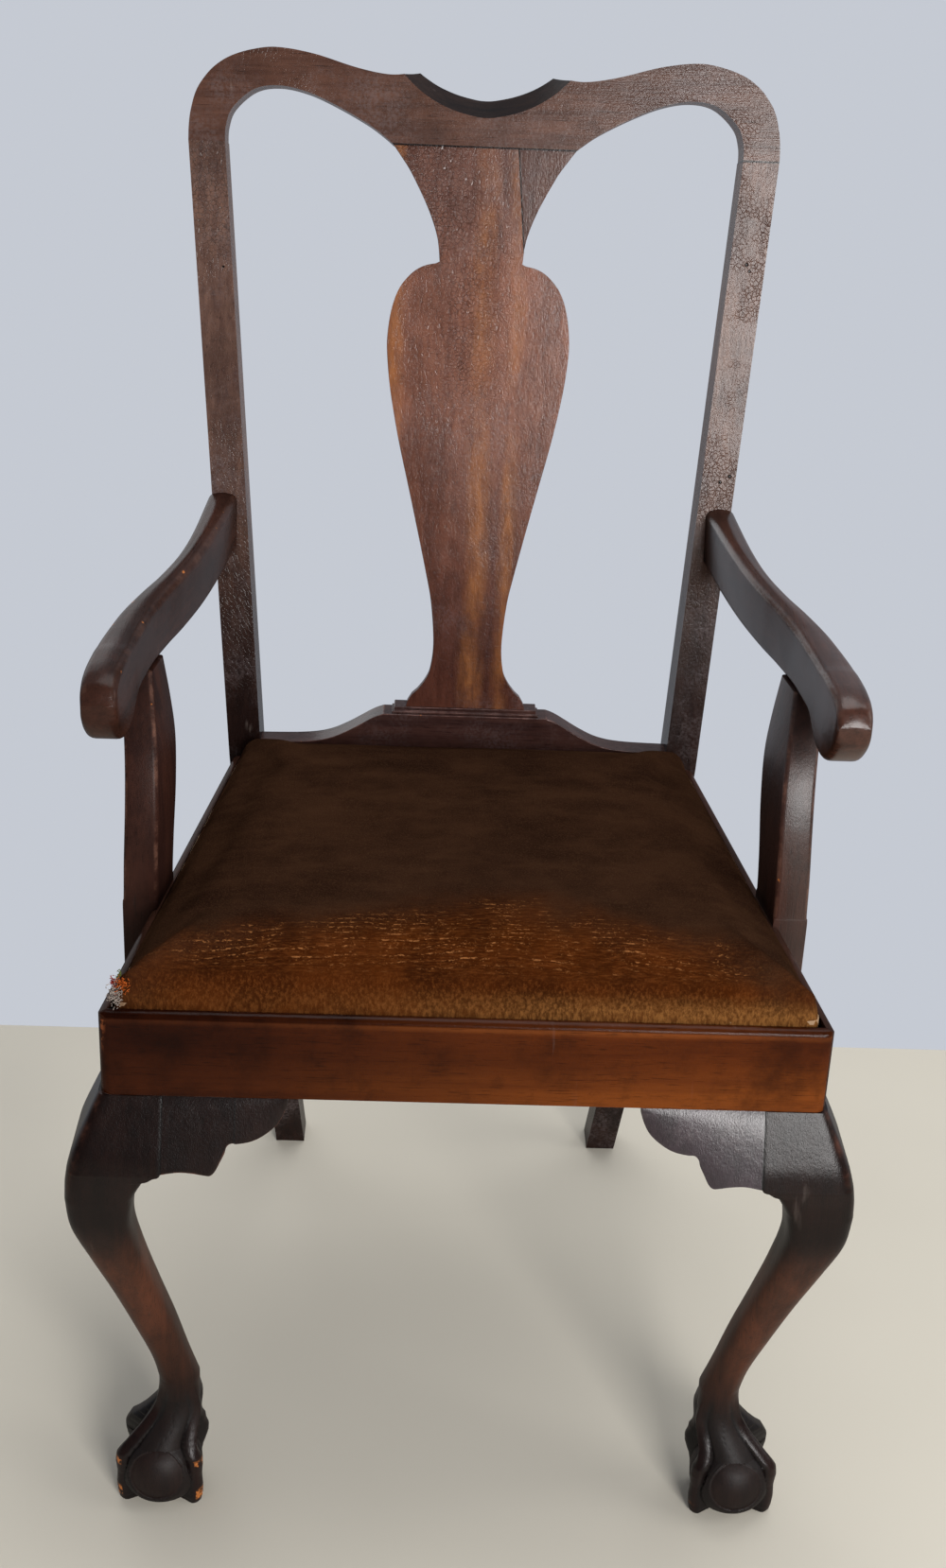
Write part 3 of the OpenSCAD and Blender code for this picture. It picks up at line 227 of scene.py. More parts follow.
class Surface:
    """A material with short calls for its nodes."""

    def __init__(self, name):
        self.mat = bpy.data.materials.new(name)
        self.mat.use_nodes = True
        self.t = self.mat.node_tree
        self.where = node(self.t, "ShaderNodeTexCoord").outputs["Object"]

    def put(self, kind, settings=None, **inputs):
        return node(self.t, kind, settings, **inputs).outputs[0]

    def stretch(self, scale, shift=(0, 0, 0)):
        return self.put("ShaderNodeMapping", Vector=self.where, Scale=scale, Location=shift)

    def moved(self, shift):
        return self.stretch((1, 1, 1), shift)

    def noise(self, at, scale, detail=3.0, rough=0.5, twist=0.0):
        return self.put("ShaderNodeTexNoise", Vector=at, Scale=scale, Detail=detail, Roughness=rough, Distortion=twist)

    def cells(self, at, scale, feature="DISTANCE_TO_EDGE"):
        return node(self.t, "ShaderNodeTexVoronoi", {"feature": feature}, Vector=at, Scale=scale).outputs["Distance"]

    def ramp(self, value, low, high, to_low=0.0, to_high=1.0):
        return self.put("ShaderNodeMapRange", {"interpolation_type": "SMOOTHSTEP"}, Value=value,
                        From_Min=low, From_Max=high, To_Min=to_low, To_Max=to_high)

    def math(self, op, a, *more):
        for b in more or (0.0,):
            a = self.put("ShaderNodeMath", {"operation": op}, _0=a, _1=b)
        return a

    def mul(self, *values):
        return self.math("MULTIPLY", *values)

    def add(self, *values):
        return self.math("ADD", *values)

    def sub(self, a, b):
        return self.math("SUBTRACT", a, b)

    def mix(self, factor, a, b, blend="MIX"):
        a, b = (v if isinstance(v, bpy.types.NodeSocket) else (*v, 1) for v in (a, b))
        settings = {"data_type": "RGBA", "blend_type": blend}
        return node(self.t, "ShaderNodeMix", settings, _0=factor, _6=a, _7=b).outputs[2]

    def attribute(self, name):
        return node(self.t, "ShaderNodeAttribute", {"attribute_name": name}).outputs["Fac"]

    def axis(self, i):
        return node(self.t, "ShaderNodeSeparateXYZ", Vector=self.where).outputs[i]

    def end(self, colour, rough, height=None, distance=0.0, strength=1.0, **fixed):
        """Sets the shader: roughness may be a number, and the bump shows in the coat too."""
        inputs = {"Base_Color": colour, "Roughness": rough, **fixed}
        if height is not None:
            bump = self.put("ShaderNodeBump", Height=height, Distance=distance, Strength=strength)
            inputs.update(Normal=bump, Coat_Normal=bump)
        fill(self.t, self.t.nodes["Principled BSDF"], inputs)
        return self.mat


GRAIN = {"X": (0.06, 1, 1), "Y": (1, 0.06, 1), "Z": (1, 1, 0.06)}


def wood(name, grain, light, dark, seed, crackle=0.0, chips=(0.4, 0.13, 0.03), figure=0.6, gloss=0.3, patina=0.5,
         coat=0.4, tint=(), haze_and_sheen=0.0, polish=0.11, uneven=1.2, rub=None, scuffed=0.06, marks=(), bands=()):
    """Old polished mahogany: streaky figure, short dark pores, patches of darker polish, rubbed edges."""
    s = Surface(name)
    shift = (seed * 1.7, seed * 0.9, seed * 2.3)
    along = s.stretch(GRAIN[grain], shift)
    body = s.noise(along, 42, 6, 0.62, 0.5)
    streaks = s.noise(along, 300, 4, 0.6)
    pores = s.noise(s.stretch(tuple(0.045 if k < 1 else 1 for k in GRAIN[grain]), shift), 1700, 2, 0.5)
    patch = s.noise(s.moved(shift), 13, 7, 0.68)
    fine = s.noise(s.where, 520, 4, 0.65)
    grime = s.noise(s.moved(shift), 75, 6, 0.7)
    tone = s.add(s.mul(s.ramp(body, 0.36, 0.66), figure), s.mul(s.ramp(streaks, 0.3, 0.7), 1 - figure))
    colour = s.mix(tone, dark, light)
    colour = s.mix(s.mul(s.ramp(patch, 0.44, 0.68), patina), colour, times(dark, 0.45))
    colour = s.mix(s.ramp(grime, 0.52, 0.72, 0, 0.35), colour, times(dark, 0.4))
    colour = s.mix(s.ramp(pores, 0.6, 0.72, 0, 0.6), colour, times(dark, 0.25))
    # tints multiply the colour along an axis: the carved legs' darker knees and feet, and painted shade and painted
    # highlights on the front rail, the stiles and the splat
    for axis, low, high, factor in tint:
        colour = s.mix(s.ramp(s.axis(axis), low, high), colour, factor, "MULTIPLY")
    for x, width in bands:
        off = s.math("ABSOLUTE", s.sub(s.axis(0), s.add(x - 0.008, s.mul(body, 0.016))))
        glow = s.mul(s.ramp(off, width, 0.0), s.mul(s.ramp(patch, 0.34, 0.6), s.ramp(streaks, 0.3, 0.7, 0.4, 1.0)))
        colour = s.mix(s.mul(glow, 0.6), colour, (0.34, 0.125, 0.034))
    # a pale cloudy bloom on the old polish, which on the right front bracket is also a painted sheen
    if haze_and_sheen:
        bloom_and_sheen = s.mul(s.ramp(s.noise(s.moved((seed, 7, 3)), 17, 6, 0.7), 0.44, 0.66), s.ramp(fine, 0.36, 0.62))
        colour = s.mix(s.mul(bloom_and_sheen, haze_and_sheen), colour, (0.15, 0.118, 0.118))
    wear = s.attribute("wear")
    rubbed = s.mul(s.ramp(wear, 0.2, 0.95), s.ramp(s.noise(s.where, 70, 6, 0.72), 0.4, 0.72))
    colour = s.mix(s.mul(rubbed, 0.7), colour, rub or tuple(c * 2.6 + 0.03 for c in light))
    nicks = s.mul(s.ramp(wear, 0.5, 1.0), s.ramp(s.noise(s.moved((9, seed, 2)), 130, 2, 0.5), 0.7, 0.74))
    colour = s.mix(nicks, colour, chips)
    bare = s.mul(s.ramp(s.attribute("chip"), 0.35, 0.8), s.ramp(s.noise(s.where, 230, 4, 0.65), 0.46, 0.56))
    colour = s.mix(bare, colour, chips)
    crack = s.ramp(s.cells(s.where, 380), 0.0, 0.09)
    scuffs = s.ramp(s.noise(s.stretch((1, 1, 0.12), (seed, 4, 1)), 150, 3, 0.5), 0.68, 0.8)
    colour = s.mix(s.mul(scuffs, scuffed), colour, (0.4, 0.32, 0.28))
    height = s.add(s.mul(pores, -0.6), s.mul(fine, 0.8))
    height = s.add(height, s.mul(streaks, 0.3))
    height = s.add(height, s.mul(s.noise(s.moved(shift), 45, 2, 0.5), uneven))
    rough = s.ramp(s.noise(s.where, 24, 6, 0.65), 0.3, 0.75, gloss - 0.05, gloss + 0.18)
    rough = s.add(rough, s.mul(fine, 0.1))
    if crackle:
        zone = s.mul(s.ramp(s.noise(s.moved((3, seed, 8)), 10, 5, 0.65), 0.4, 0.56), s.attribute("crackle"))
        zone = s.mul(zone, crackle)
        lines = s.mul(zone, s.sub(1.0, crack))
        height = s.sub(height, s.mul(lines, 3.0))
        colour = s.mix(lines, colour, times(dark, 0.3))
        beads = s.mul(zone, s.ramp(s.noise(s.where, 900, 2), 0.58, 0.68))
        colour = s.mix(s.mul(beads, 0.6), colour, (0.22, 0.17, 0.16))
        rough = s.add(rough, s.mul(zone, 0.12))
    for x, z, size in marks:
        dx, dz = s.sub(s.axis(0), x), s.sub(s.axis(2), z)
        away = s.math("SQRT", s.add(s.mul(dx, dx), s.mul(dz, dz)))
        hole = s.ramp(away, size, size * 0.5)
        colour = s.mix(hole, colour, (0.004, 0.003, 0.003))
        height = s.sub(height, s.mul(hole, 8.0))
    colour = s.mix(s.attribute("inky"), colour, (0.006, 0.005, 0.005))
    colour = s.mix(s.mul(s.attribute("seam"), 0.92), colour, (0.004, 0.003, 0.003))
    return s.end(colour, rough, height, 0.0002, 0.6, Coat_Weight=coat, Coat_Roughness=polish, Specular_IOR_Level=0.0)


def bare_wood(name, grain, seed):
    s = Surface(name)
    along = s.stretch(GRAIN[grain], (seed, seed * 2, seed * 3))
    body = s.noise(along, 45, 6, 0.6, 0.5)
    pores = s.noise(along, 700, 3, 0.6)
    dirt = s.noise(s.where, 14, 5, 0.6)
    colour = s.mix(s.ramp(body, 0.35, 0.68), (0.2, 0.11, 0.055), (0.42, 0.27, 0.15))
    colour = s.mix(s.ramp(dirt, 0.45, 0.75, 0, 0.5), colour, (0.1, 0.06, 0.035))
    height = s.add(s.mul(pores, 1.0), s.mul(body, 0.5))
    return s.end(colour, s.ramp(dirt, 0.3, 0.8, 0.62, 0.85), height, 0.0004, 0.7)


def brass(name):
    s = Surface(name)
    grime = s.noise(s.where, 300, 5, 0.6)
    colour = s.mix(s.ramp(grime, 0.4, 0.65), (0.5, 0.36, 0.14), (0.16, 0.1, 0.05))
    return s.end(colour, s.ramp(grime, 0.35, 0.7, 0.3, 0.6), grime, 0.0001, 0.5, Metallic=1.0)


def iron(name):
    s = Surface(name)
    rust = s.noise(s.where, 900, 4, 0.6)
    colour = s.mix(s.ramp(rust, 0.5, 0.66), (0.035, 0.036, 0.045), (0.16, 0.06, 0.025))
    return s.end(colour, s.ramp(rust, 0.4, 0.7, 0.35, 0.75), rust, 0.0001, 0.5, Metallic=0.8)


def woven(name, light, dark, pitch, rough=0.9, depth=0.0004):
    """A plain weave: two sets of threads, over and under."""
    s = Surface(name)
    k = math.pi / pitch
    wobble = s.noise(s.where, 60, 2)
    x = s.add(s.mul(s.axis(0), k), s.mul(wobble, 1.5))
    y = s.add(s.mul(s.axis(1), k), s.mul(wobble, 1.5))
    warp = s.math("ABSOLUTE", s.math("SINE", x))
    weft = s.math("ABSOLUTE", s.math("SINE", y))
    over = s.mul(s.math("SINE", x), s.math("SINE", y))
    over = s.ramp(over, -0.2, 0.2)
    height = s.put("ShaderNodeMix", {"data_type": "FLOAT"}, _0=over, _2=warp, _3=weft)
    fibre = s.noise(s.where, 1800, 3, 0.6)
    colour = s.mix(s.ramp(height, 0.1, 0.8), dark, light)
    colour = s.mix(s.ramp(fibre, 0.4, 0.7, 0, 0.4), colour, dark)
    height = s.add(height, s.mul(fibre, 0.4))
    return s.end(colour, rough, height, depth, 0.9, Sheen_Weight=0.15)


# ---- pieces ------------------------------------------------------------------------------------

def set_attribute(mesh, name, values):
    a = mesh.attributes.get(name) or mesh.attributes.new(name, "FLOAT", "POINT")
    a.data.foreach_set("value", np.asarray(values, np.float32))


def piece(name, mesh, material, body, nodes, slot, smooth=32.0, weighted=True, second=None):
    for p in mesh.polygons:
        p.use_smooth = True
    if smooth:
        mesh.set_sharp_from_angle(angle=math.radians(smooth))
    which = [p.material_index for p in mesh.polygons]
    mesh.materials.clear()
    mesh.materials.append(material)
    if second:
        mesh.materials.append(second)
        mesh.polygons.foreach_set("material_index", which)
    o = new_object(name, mesh)
    if weighted:
        m = o.modifiers.new("normals", "WEIGHTED_NORMAL")
        m.keep_sharp = True
        m.weight = 80
    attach(o, body)
    if nodes:
        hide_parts(*nodes)
    return o


def frame_piece(node_name, mesh, material, ending="polished", slot="dark_wood", **more):
    """A piece of the chair's frame that takes its CAD node's place."""
    return piece(f"{node_name}_{ending}", mesh, material, "chair_frame", [node_name], slot, **more)


def opened(mesh):
    bm = bmesh.new()
    bm.from_mesh(mesh)
    return bm


def closed(bm, mesh):
    bm.to_mesh(mesh)
    bm.free()
    return mesh


def finish_mesh(bm, name):
    bmesh.ops.recalc_face_normals(bm, faces=bm.faces)
    return closed(bm, bpy.data.meshes.new(name))


def slice_mesh(bm, at, normal):
    """Adds the edges where a plane meets the faces."""
    bmesh.ops.bisect_plane(bm, geom=bm.verts[:] + bm.edges[:] + bm.faces[:], plane_co=at, plane_no=normal)


def simplify(bm, angle):
    """Joins vertices that coincide, and faces that lie flat to within an angle in degrees."""
    bmesh.ops.remove_doubles(bm, verts=bm.verts, dist=WELD)
    bmesh.ops.dissolve_limit(bm, angle_limit=math.radians(angle), verts=bm.verts, edges=bm.edges)


def bevelled(bm, width, angle=24.0, segments=3, joint=None):
    """Rounds a bmesh's sharp edges, apart from those for which joint(edge) is true, and marks the new faces as worn."""
    bm.normal_update()
    wear = bm.faces.layers.float.new("wear")
    sharp = [e for e in bm.edges if len(e.link_faces) == 2 and e.calc_face_angle(0) > math.radians(angle)]
    main = [e for e in sharp if not (joint and joint(e))]
    done = bmesh.ops.bevel(bm, geom=main, offset=width, segments=segments, profile=0.5, affect="EDGES",
                           clamp_overlap=True)
    for f in done["faces"]:
        f[wear] = 1.0


def glue_lines(mesh, lines):
    """Marks a thin strip of faces beside each joint: a point on its plane, the way into the piece, width, a test."""
    bm = opened(mesh)
    seam = bm.faces.layers.float.get("seam") or bm.faces.layers.float.new("seam")
    for point, inward, width, where in lines:
        point, inward = Vector(point), Vector(inward).normalized()
        slice_mesh(bm, point + inward * width, inward)
        bm.normal_update()
        for f in bm.faces:
            deep = max((v.co - point).dot(inward) for v in f.verts)
            if -width < deep < width * 1.02 and abs(f.normal.dot(inward)) < 0.9 and where(f.calc_center_median()):
                f[seam] = 1.0
    return closed(bm, mesh)


def cad_copy(cad):
    bm = opened(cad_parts[cad].data)
    simplify(bm, 0.6)
    return bm


def from_cad(cad, width, joint=None, segments=3):
    """A copy of a CAD node's mesh with its edges rounded."""
    bm = cad_copy(cad)
    bevelled(bm, width, 24, segments, joint)
    return finish_mesh(bm, cad)


def rounded_corner(mesh, radius=6.5):
    """Rounds the frame's two front corners in plan, where the mitred rails meet."""
    side = Vector((side_x(100, 0) - side_x(0, 0), 100)).normalized()
    out = Vector((side.y, -side.x))
    # the centre lies at the radius from both faces
    centre = Vector((HALF_W + side.x / side.y * radius - radius / out.x, radius))
    bm = opened(mesh)
    for sign in (LEFT, RIGHT):
        for k in range(8):
            a = math.radians(-90 + 12 * k)
            slice_mesh(bm, row_frame(sign * centre.x, centre.y, 0), Vector((-math.sin(a) * sign, math.cos(a), 0)))
    for v in bm.verts:
        p = Vector((abs(v.co.x) / MM, (v.co.y + MID) / MM)) - centre
        a = math.degrees(math.atan2(p.y, p.x))
        if -91 < a < math.degrees(math.atan2(out.y, out.x)) + 1 and p.length > radius:
            p = p.normalized() * radius + centre
            v.co.x, v.co.y = math.copysign(p.x * MM, v.co.x), p.y * MM - MID
    return closed(bm, mesh)


def prism(bm, low, high):
    """Adds a closed block between two outlines with as many points."""
    a, b = [bm.verts.new(p) for p in low], [bm.verts.new(p) for p in high]
    faces = [bm.faces.new(a), bm.faces.new(list(reversed(b)))]
    for i in range(len(a)):
        j = (i + 1) % len(a)
        faces.append(bm.faces.new((a[j], a[i], b[i], b[j])))
    bmesh.ops.recalc_face_normals(bm, faces=faces)
    return bm


def board(outline, thickness, place, width, joint=None, angle=24.0, segments=3, cutter=None):
    """A flat outline (millimetres) given a thickness, set in place(x, v, w), with its edges rounded."""
    bm = prism(bmesh.new(), *([place(x, v, w) for x, v in outline] for w in (0, thickness)))
    if cutter:
        bm = cut_away(bm, cutter)
    bevelled(bm, width, angle, segments, joint)
    return finish_mesh(bm, "board")


def cut_away(bm, cutter):
    """The bmesh less the cutter's bmesh."""
    made = [new_object("cut", closed(b, bpy.data.meshes.new("cut"))) for b in (bm, cutter)]
    m = made[0].modifiers.new("cut", "BOOLEAN")
    m.operation, m.solver, m.object = "DIFFERENCE", "EXACT", made[1]
    out = opened(made[0].evaluated_get(bpy.context.evaluated_depsgraph_get()).to_mesh())
    for o in made:
        bpy.data.objects.remove(o)
    simplify(out, 0.3)
    return out


def on_back(z0, inset):
    """Sets x, the way up the raked back from z0, and the depth behind the stiles' faces."""
    def place(x, v, w):
        w = w + inset
        return row_frame(x, face_y(z0) + v * UP_BACK.y + w * UP_BACK.z, z0 + v * UP_BACK.z - w * UP_BACK.y)
    return place


def upright(y):
    return lambda x, v, w: row_frame(x, y + w, v)


def loft(rings, name, side=RIGHT):
    """A closed skin through rings (rows x points x 3, millimetres, chair frame)."""
    r = np.array(rings, float)
    rows, n = r.shape[:2]
    verts = np.vstack([r.reshape(-1, 3), r[0].mean(0), r[-1].mean(0)])
    verts[:, 0] *= side
    verts[:, 1] -= MID / MM
    faces = []
    for a in range(0, (rows - 1) * n, n):
        faces += [(a + i, a + (i + 1) % n, a + n + (i + 1) % n, a + n + i) for i in range(n)]
    first, last, end = rows * n, rows * n + 1, (rows - 1) * n
    faces += [(first, (i + 1) % n, i) for i in range(n)]
    faces += [(last, end + i, end + (i + 1) % n) for i in range(n)]
    mesh = bpy.data.meshes.new(name)
    mesh.from_pydata((verts * MM).tolist(), [], faces)
    bm = opened(mesh)
    bmesh.ops.recalc_face_normals(bm, faces=bm.faces)
    return closed(bm, mesh)


def ring_values(mesh, name, rows, scale=1.0):
    """A value for each of a loft's points, and 0 for the two that close its ends."""
    set_attribute(mesh, name, np.append(np.concatenate(rows), [0, 0]) * scale)


# ---- the back ----------------------------------------------------------------------------------

SLOPE_H = CREST_H / math.cos(RAKE)
HEAD_W, SPLAT_W, SPLAT_T = 111.2, 112.6, 9.0
SPLAT_SET, EAR_GAP = 0.8, 0.12
JOINT_SHARE = 0.04
# outlines from the middle outwards or back: shares of the half width, and of the height
CREST_TOP = [(1, 0), (0.999, 0.15), (0.993, 0.31), (0.976, 0.51), (0.948, 0.66), (0.912, 0.785), (0.861, 0.89),
             (0.79, 0.966), (0.706, 1), (0.584, 0.948), (0.447, 0.828), (0.345, 0.768), (0.279, 0.775), (0.225, 0.83),
             (0.19, 0.9), (0, 0.9)]
CREST_UNDER = [(1, 0), (0.995, 0.17), (0.955, 0.36), (0.83, 0.556), (0.68, 0.604), (0.51, 0.546), (0.33, 0.41),
               (0.15, 0.238), (0.05, 0.113), (0, JOINT_SHARE)]
SCOOP = [(0.279, 0.77), (0.229, 0.622), (0.167, 0.494), (0.1, 0.407), (0.033, 0.357), (0, 0.348)]
SCOOP_TILT = math.radians(14)
CREST_ROUND, SPLAT_ROUND, SHOE_ROUND = 0.0019, 0.0013, 0.0022    # metres, as all roundings here


def crest_mesh():
    top = line([(x * CREST_W / 2, v * SLOPE_H) for x, v in CREST_TOP], 9)
    under = line([(lerp(HEAD_W / 2, stile_in(JOINT_Z), x), v * SLOPE_H) for x, v in CREST_UNDER], 9)
    half = top[-2::-1] + under
    across = CREST_H * math.cos(RAKE + SCOOP_TILT) / math.cos(RAKE)
    dish = line([(x * CREST_W / 2, v * across) for x, v in SCOOP], 10)
    dish += mirrored(dish)[1:] + [(-dish[0][0], 2 * CREST_H), (dish[0][0], 2 * CREST_H)]
    base = Vector((0, face_y(JOINT_Z) - MID / MM, JOINT_Z))
    turn = Matrix.Rotation(math.pi / 2 + SCOOP_TILT, 3, "X")
    cutter = prism(bmesh.new(), *([(base + turn @ Vector((x, v, w))) * MM for x, v in dish] for w in (-60, 30)))

    def joint(e):
        # the faces against the stiles and against the splat
        return any(f.normal.z < -0.9 and f.calc_center_median().z < JOINT_Z * MM + 0.004 and f.calc_area() > 1e-4
                   for f in e.link_faces)
    place = on_back(JOINT_Z, 0)
    mesh = board(half + mirrored(half), CREST_T, place, CREST_ROUND, joint, 30, 3, cutter)
    glue_lines(mesh, [(place(0, 0, 0), UP_BACK, 0.0007, lambda c: c.x > 0.1),
                      (place(0, JOINT_SHARE * SLOPE_H, 0), UP_BACK, 0.0006, lambda c: abs(c.x) < 0.07)])
    for f in mesh.polygons:
        if f.normal.z > 0.4 and abs(f.center.x) < 0.0515 and f.area > 1e-6:
            f.material_index = 1
    return add_crackle(mesh, lambda c: (abs(c.x) - 0.09) / 0.03)


SHOE_Z, PLINTH_H = RAIL_TOP + 31.3, 4.0
SPLAT_Z = SHOE_Z + PLINTH_H
SPLAT_TOP = JOINT_Z + JOINT_SHARE * CREST_H
SPLAT_H = (SPLAT_TOP - SPLAT_Z) / math.cos(RAKE)
SPLAT_HEAD = [(0.9, 0.981), (0.782, 0.953), (0.595, 0.895), (0.485, 0.846), (0.451, 0.804)]
SPLAT_BULB = [(0.49, 0.801), (0.6, 0.797), (0.7, 0.789), (0.79, 0.776), (0.87, 0.759), (0.93, 0.737), (0.974, 0.708),
              (1, 0.669), (0.993, 0.635), (0.959, 0.586), (0.902, 0.534), (0.829, 0.478), (0.666, 0.369),
              (0.494, 0.249), (0.426, 0.193), (0.387, 0.12), (0.414, 0.073), (0.472, 0.05), (0.554, 0.032)]
SPLAT_BASE = [(0.615, 0.023), (0.663, 0.01), (0.679, 0), (0.679, -0.004)]
EAR = [(0.366, 1.0), (0.46, 0.828)]


def splat_half():
    s, h = SPLAT_W / 2, SPLAT_H
    head = line([(HEAD_W / 2, h)] + [(x * s, v * h) for x, v in SPLAT_HEAD], 8)
    return head + line([(x * s, v * h) for x, v in SPLAT_BULB], 7) + [(x * s, v * h) for x, v in SPLAT_BASE]


def add_crackle(mesh, *weights):
    """How far the old finish is crazed, as a product of weights held between 0 and 1."""
    set_attribute(mesh, "crackle", [math.prod(min(1, max(0, w(v.co))) for w in weights) for v in mesh.vertices])
    return mesh


def splat_meshes():
    half = splat_half()
    s, h = SPLAT_W / 2, SPLAT_H
    a, b = (EAR[0][0] * s, h), (EAR[1][0] * s, EAR[1][1] * h)
    # where the ear's glue line leaves the outline
    split = next(i for i, p in enumerate(half) if p[1] < b[1])
    ear = [(a[0] + EAR_GAP, a[1]), (b[0] + EAR_GAP, b[1])] + half[split - 1::-1]
    whole = [a, b] + half[split:] + [(-x, y) for x, y in reversed(half)]
    top = (SPLAT_TOP - 0.5) * MM

    def joint(e):
        if all(v.co.z > top - 0.012 for v in e.verts) and any(f.normal.z > 0.9 for f in e.link_faces):
            return True
        return any(abs(f.normal.x) > 0.9 and f.calc_center_median().z > 0.655 and abs(f.calc_center_median().x) < 0.03
                   for f in e.link_faces) and all(v.co.x > 0.015 and v.co.z > 0.65 for v in e.verts)
    place = on_back(SPLAT_Z, SPLAT_SET)
    meshes = [board(outline, SPLAT_T, place, SPLAT_ROUND, joint, 22, 3) for outline in (whole, ear)]
    slant = Vector((b[1] - a[1], 0, 0)) - UP_BACK * (b[0] - a[0])
    for mesh, into, at in zip(meshes, (slant, -slant), (a[0], a[0] + EAR_GAP)):
        glue_lines(mesh, [(place(0, h, 0), -UP_BACK, 0.0005, lambda c: True),
                          (place(at, a[1], 0), into, 0.0004, lambda c: c.z > place(0, b[1] - 1, 0).z and c.x > 0.01)])
        # the old finish is crazed on the upper left
        add_crackle(mesh, lambda c: (c.z - 0.63) / 0.03, lambda c: (0.02 - c.x) / 0.03)
    return meshes


SHOULDER = [(0, 1), (0.09, 0.86), (0.29, 0.42), (0.45, 0.16), (0.65, 0.04), (1, 0)]
SHOE_T, BACK_RAIL_T, STILE_T = 16.0, 21.0, 30.0
SHOE_END, SHOE_FLAT = 9.5, 52.4    # the shoe's height at the stiles, and half the width of its level top
BACK_RAIL_Y = SEAT_D + (STILE_T - BACK_RAIL_T) * 0.25
SHOE_Y = BACK_RAIL_Y + (BACK_RAIL_T - SHOE_T) * 0.25


def shoe_mesh():
    end = RAIL_TOP + SHOE_END
    shoulder = line([(lerp(SHOE_FLAT, stile_in(end), x), lerp(end, SHOE_Z, v)) for x, v in SHOULDER], 8)
    half = shoulder + [(stile_in(RAIL_TOP), RAIL_TOP)]

    def joint(e):
        return any(abs(f.normal.x) > 0.9 or f.normal.z < -0.9 for f in e.link_faces)
    return board(half + mirrored(half), SHOE_T, upright(SHOE_Y), SHOE_ROUND, joint, 20, 4)


# ---- legs --------------------------------------------------------------------------------------

STUB_IN, STUB_TOP = 17.2, 326.0
STOCK, START, FOOT_IN, FOOT_BACK, FOOT_H = 51.4, 33.0, 23.5, 25.5, 80.0
BALL_R, REACH, CLAW_R = 23.5, 27.0, 5.0
# from the rail down: share of the height, reach out and in as shares of STOCK and START, and how square
LEG = [[1, 0.01, 1, 9], [0.959, 0.121, 1, 8], [0.904, 0.26, 1, 7], [0.8685, 0.322, 1, 6.5], [0.86, 0.331, 0.87, 6],
       [0.85, 0.34, 0.775, 5.5], [0.836, 0.35, 0.69, 5], [0.815, 0.356, 0.585, 4.5], [0.795, 0.356, 0.525, 4.2],
       [0.736, 0.317, 0.48, 3.8], [0.651, 0.167, 0.606, 3.3], [0.548, -0.025, 0.812, 2.9],
       [0.445, -0.202, 1.03, 2.7], [0.342, -0.368, 1.227, 2.4], [0.274, -0.434, 1.379, 2.2]]
# from the floor up: share of the height, and shares of REACH and CLAW_R: front claws, back claws, thickness
FOOT = [[0, 0.9, 0.9, 0.78], [0.02, 0.94, 0.95, 0.88], [0.06, 0.965, 0.98, 0.96], [0.11, 0.98, 0.99, 0.98],
        [0.16, 0.985, 1, 0.98], [0.21, 0.975, 1.02, 0.95], [0.26, 0.97, 1.06, 0.94], [0.31, 0.985, 1.13, 1.02],
        [0.36, 1, 1.19, 1.08], [0.41, 0.985, 1.205, 1.06], [0.43, 0.97, 1.19, 1.04], [0.5, 0.87, 1.12, 0.98],
        [0.55, 0.79, 0.97, 0.95], [0.6, 0.725, 0.85, 0.92], [0.66, 0.66, 0.745, 0.9], [0.72, 0.605, 0.655, 0.88],
        [0.8, 0.54, 0.56, 0.86], [0.88, 0.49, 0.5, 0.82], [0.95, 0.455, 0.46, 0.8], [1.0, 0.43, 0.43, 0.78]]
# the web's reach, likewise
WEB = [[0.4, 0.0], [0.41, 0.755], [0.43, 0.78], [0.5, 0.6], [0.55, 0.565], [0.6, 0.54], [0.66, 0.515], [0.72, 0.495],
       [0.8, 0.47], [0.88, 0.45], [0.95, 0.435], [1.0, 0.428]]
LEG_SIDES, FOOT_ROWS = 256, 150
ANGLE = np.arange(LEG_SIDES) * 2 * math.pi / LEG_SIDES
COS, SIN = np.cos(ANGLE), np.sin(ANGLE)
# the front claws turn from the side towards the front, from the floor up
CLAW_AIM = math.radians(-21), math.radians(-36)
FOOT_TURN, WINDOW, WINDOW_LIFT, WEB_T = math.radians(3), 40.5, math.radians(14), 1.15
DOT_R, DOT_Z, DOT_STEP = 0.7, 39, 2.9


def leg_ring(x, y, d, z):
    return np.stack([x + d * COS, y + d * SIN, np.full(LEG_SIDES, z)], -1)


def superellipse(r, power):
    return r / (np.abs(COS) ** power + np.abs(SIN) ** power) ** (1 / power)


def turned(a):
    """An angle, brought between -pi and pi."""
    return (a + 3 * math.pi) % (2 * math.pi) - math.pi


def smooth_max(a, b, k):
    return (a + b + np.sqrt((a - b) ** 2 + k * k)) / 2


def ease(x, low, high):
    """0 below low, 1 above high (or the other way round), smooth between."""
    t = np.clip((np.asarray(x, float) - low) / (high - low), 0, 1)
    return t * t * (3 - 2 * t)


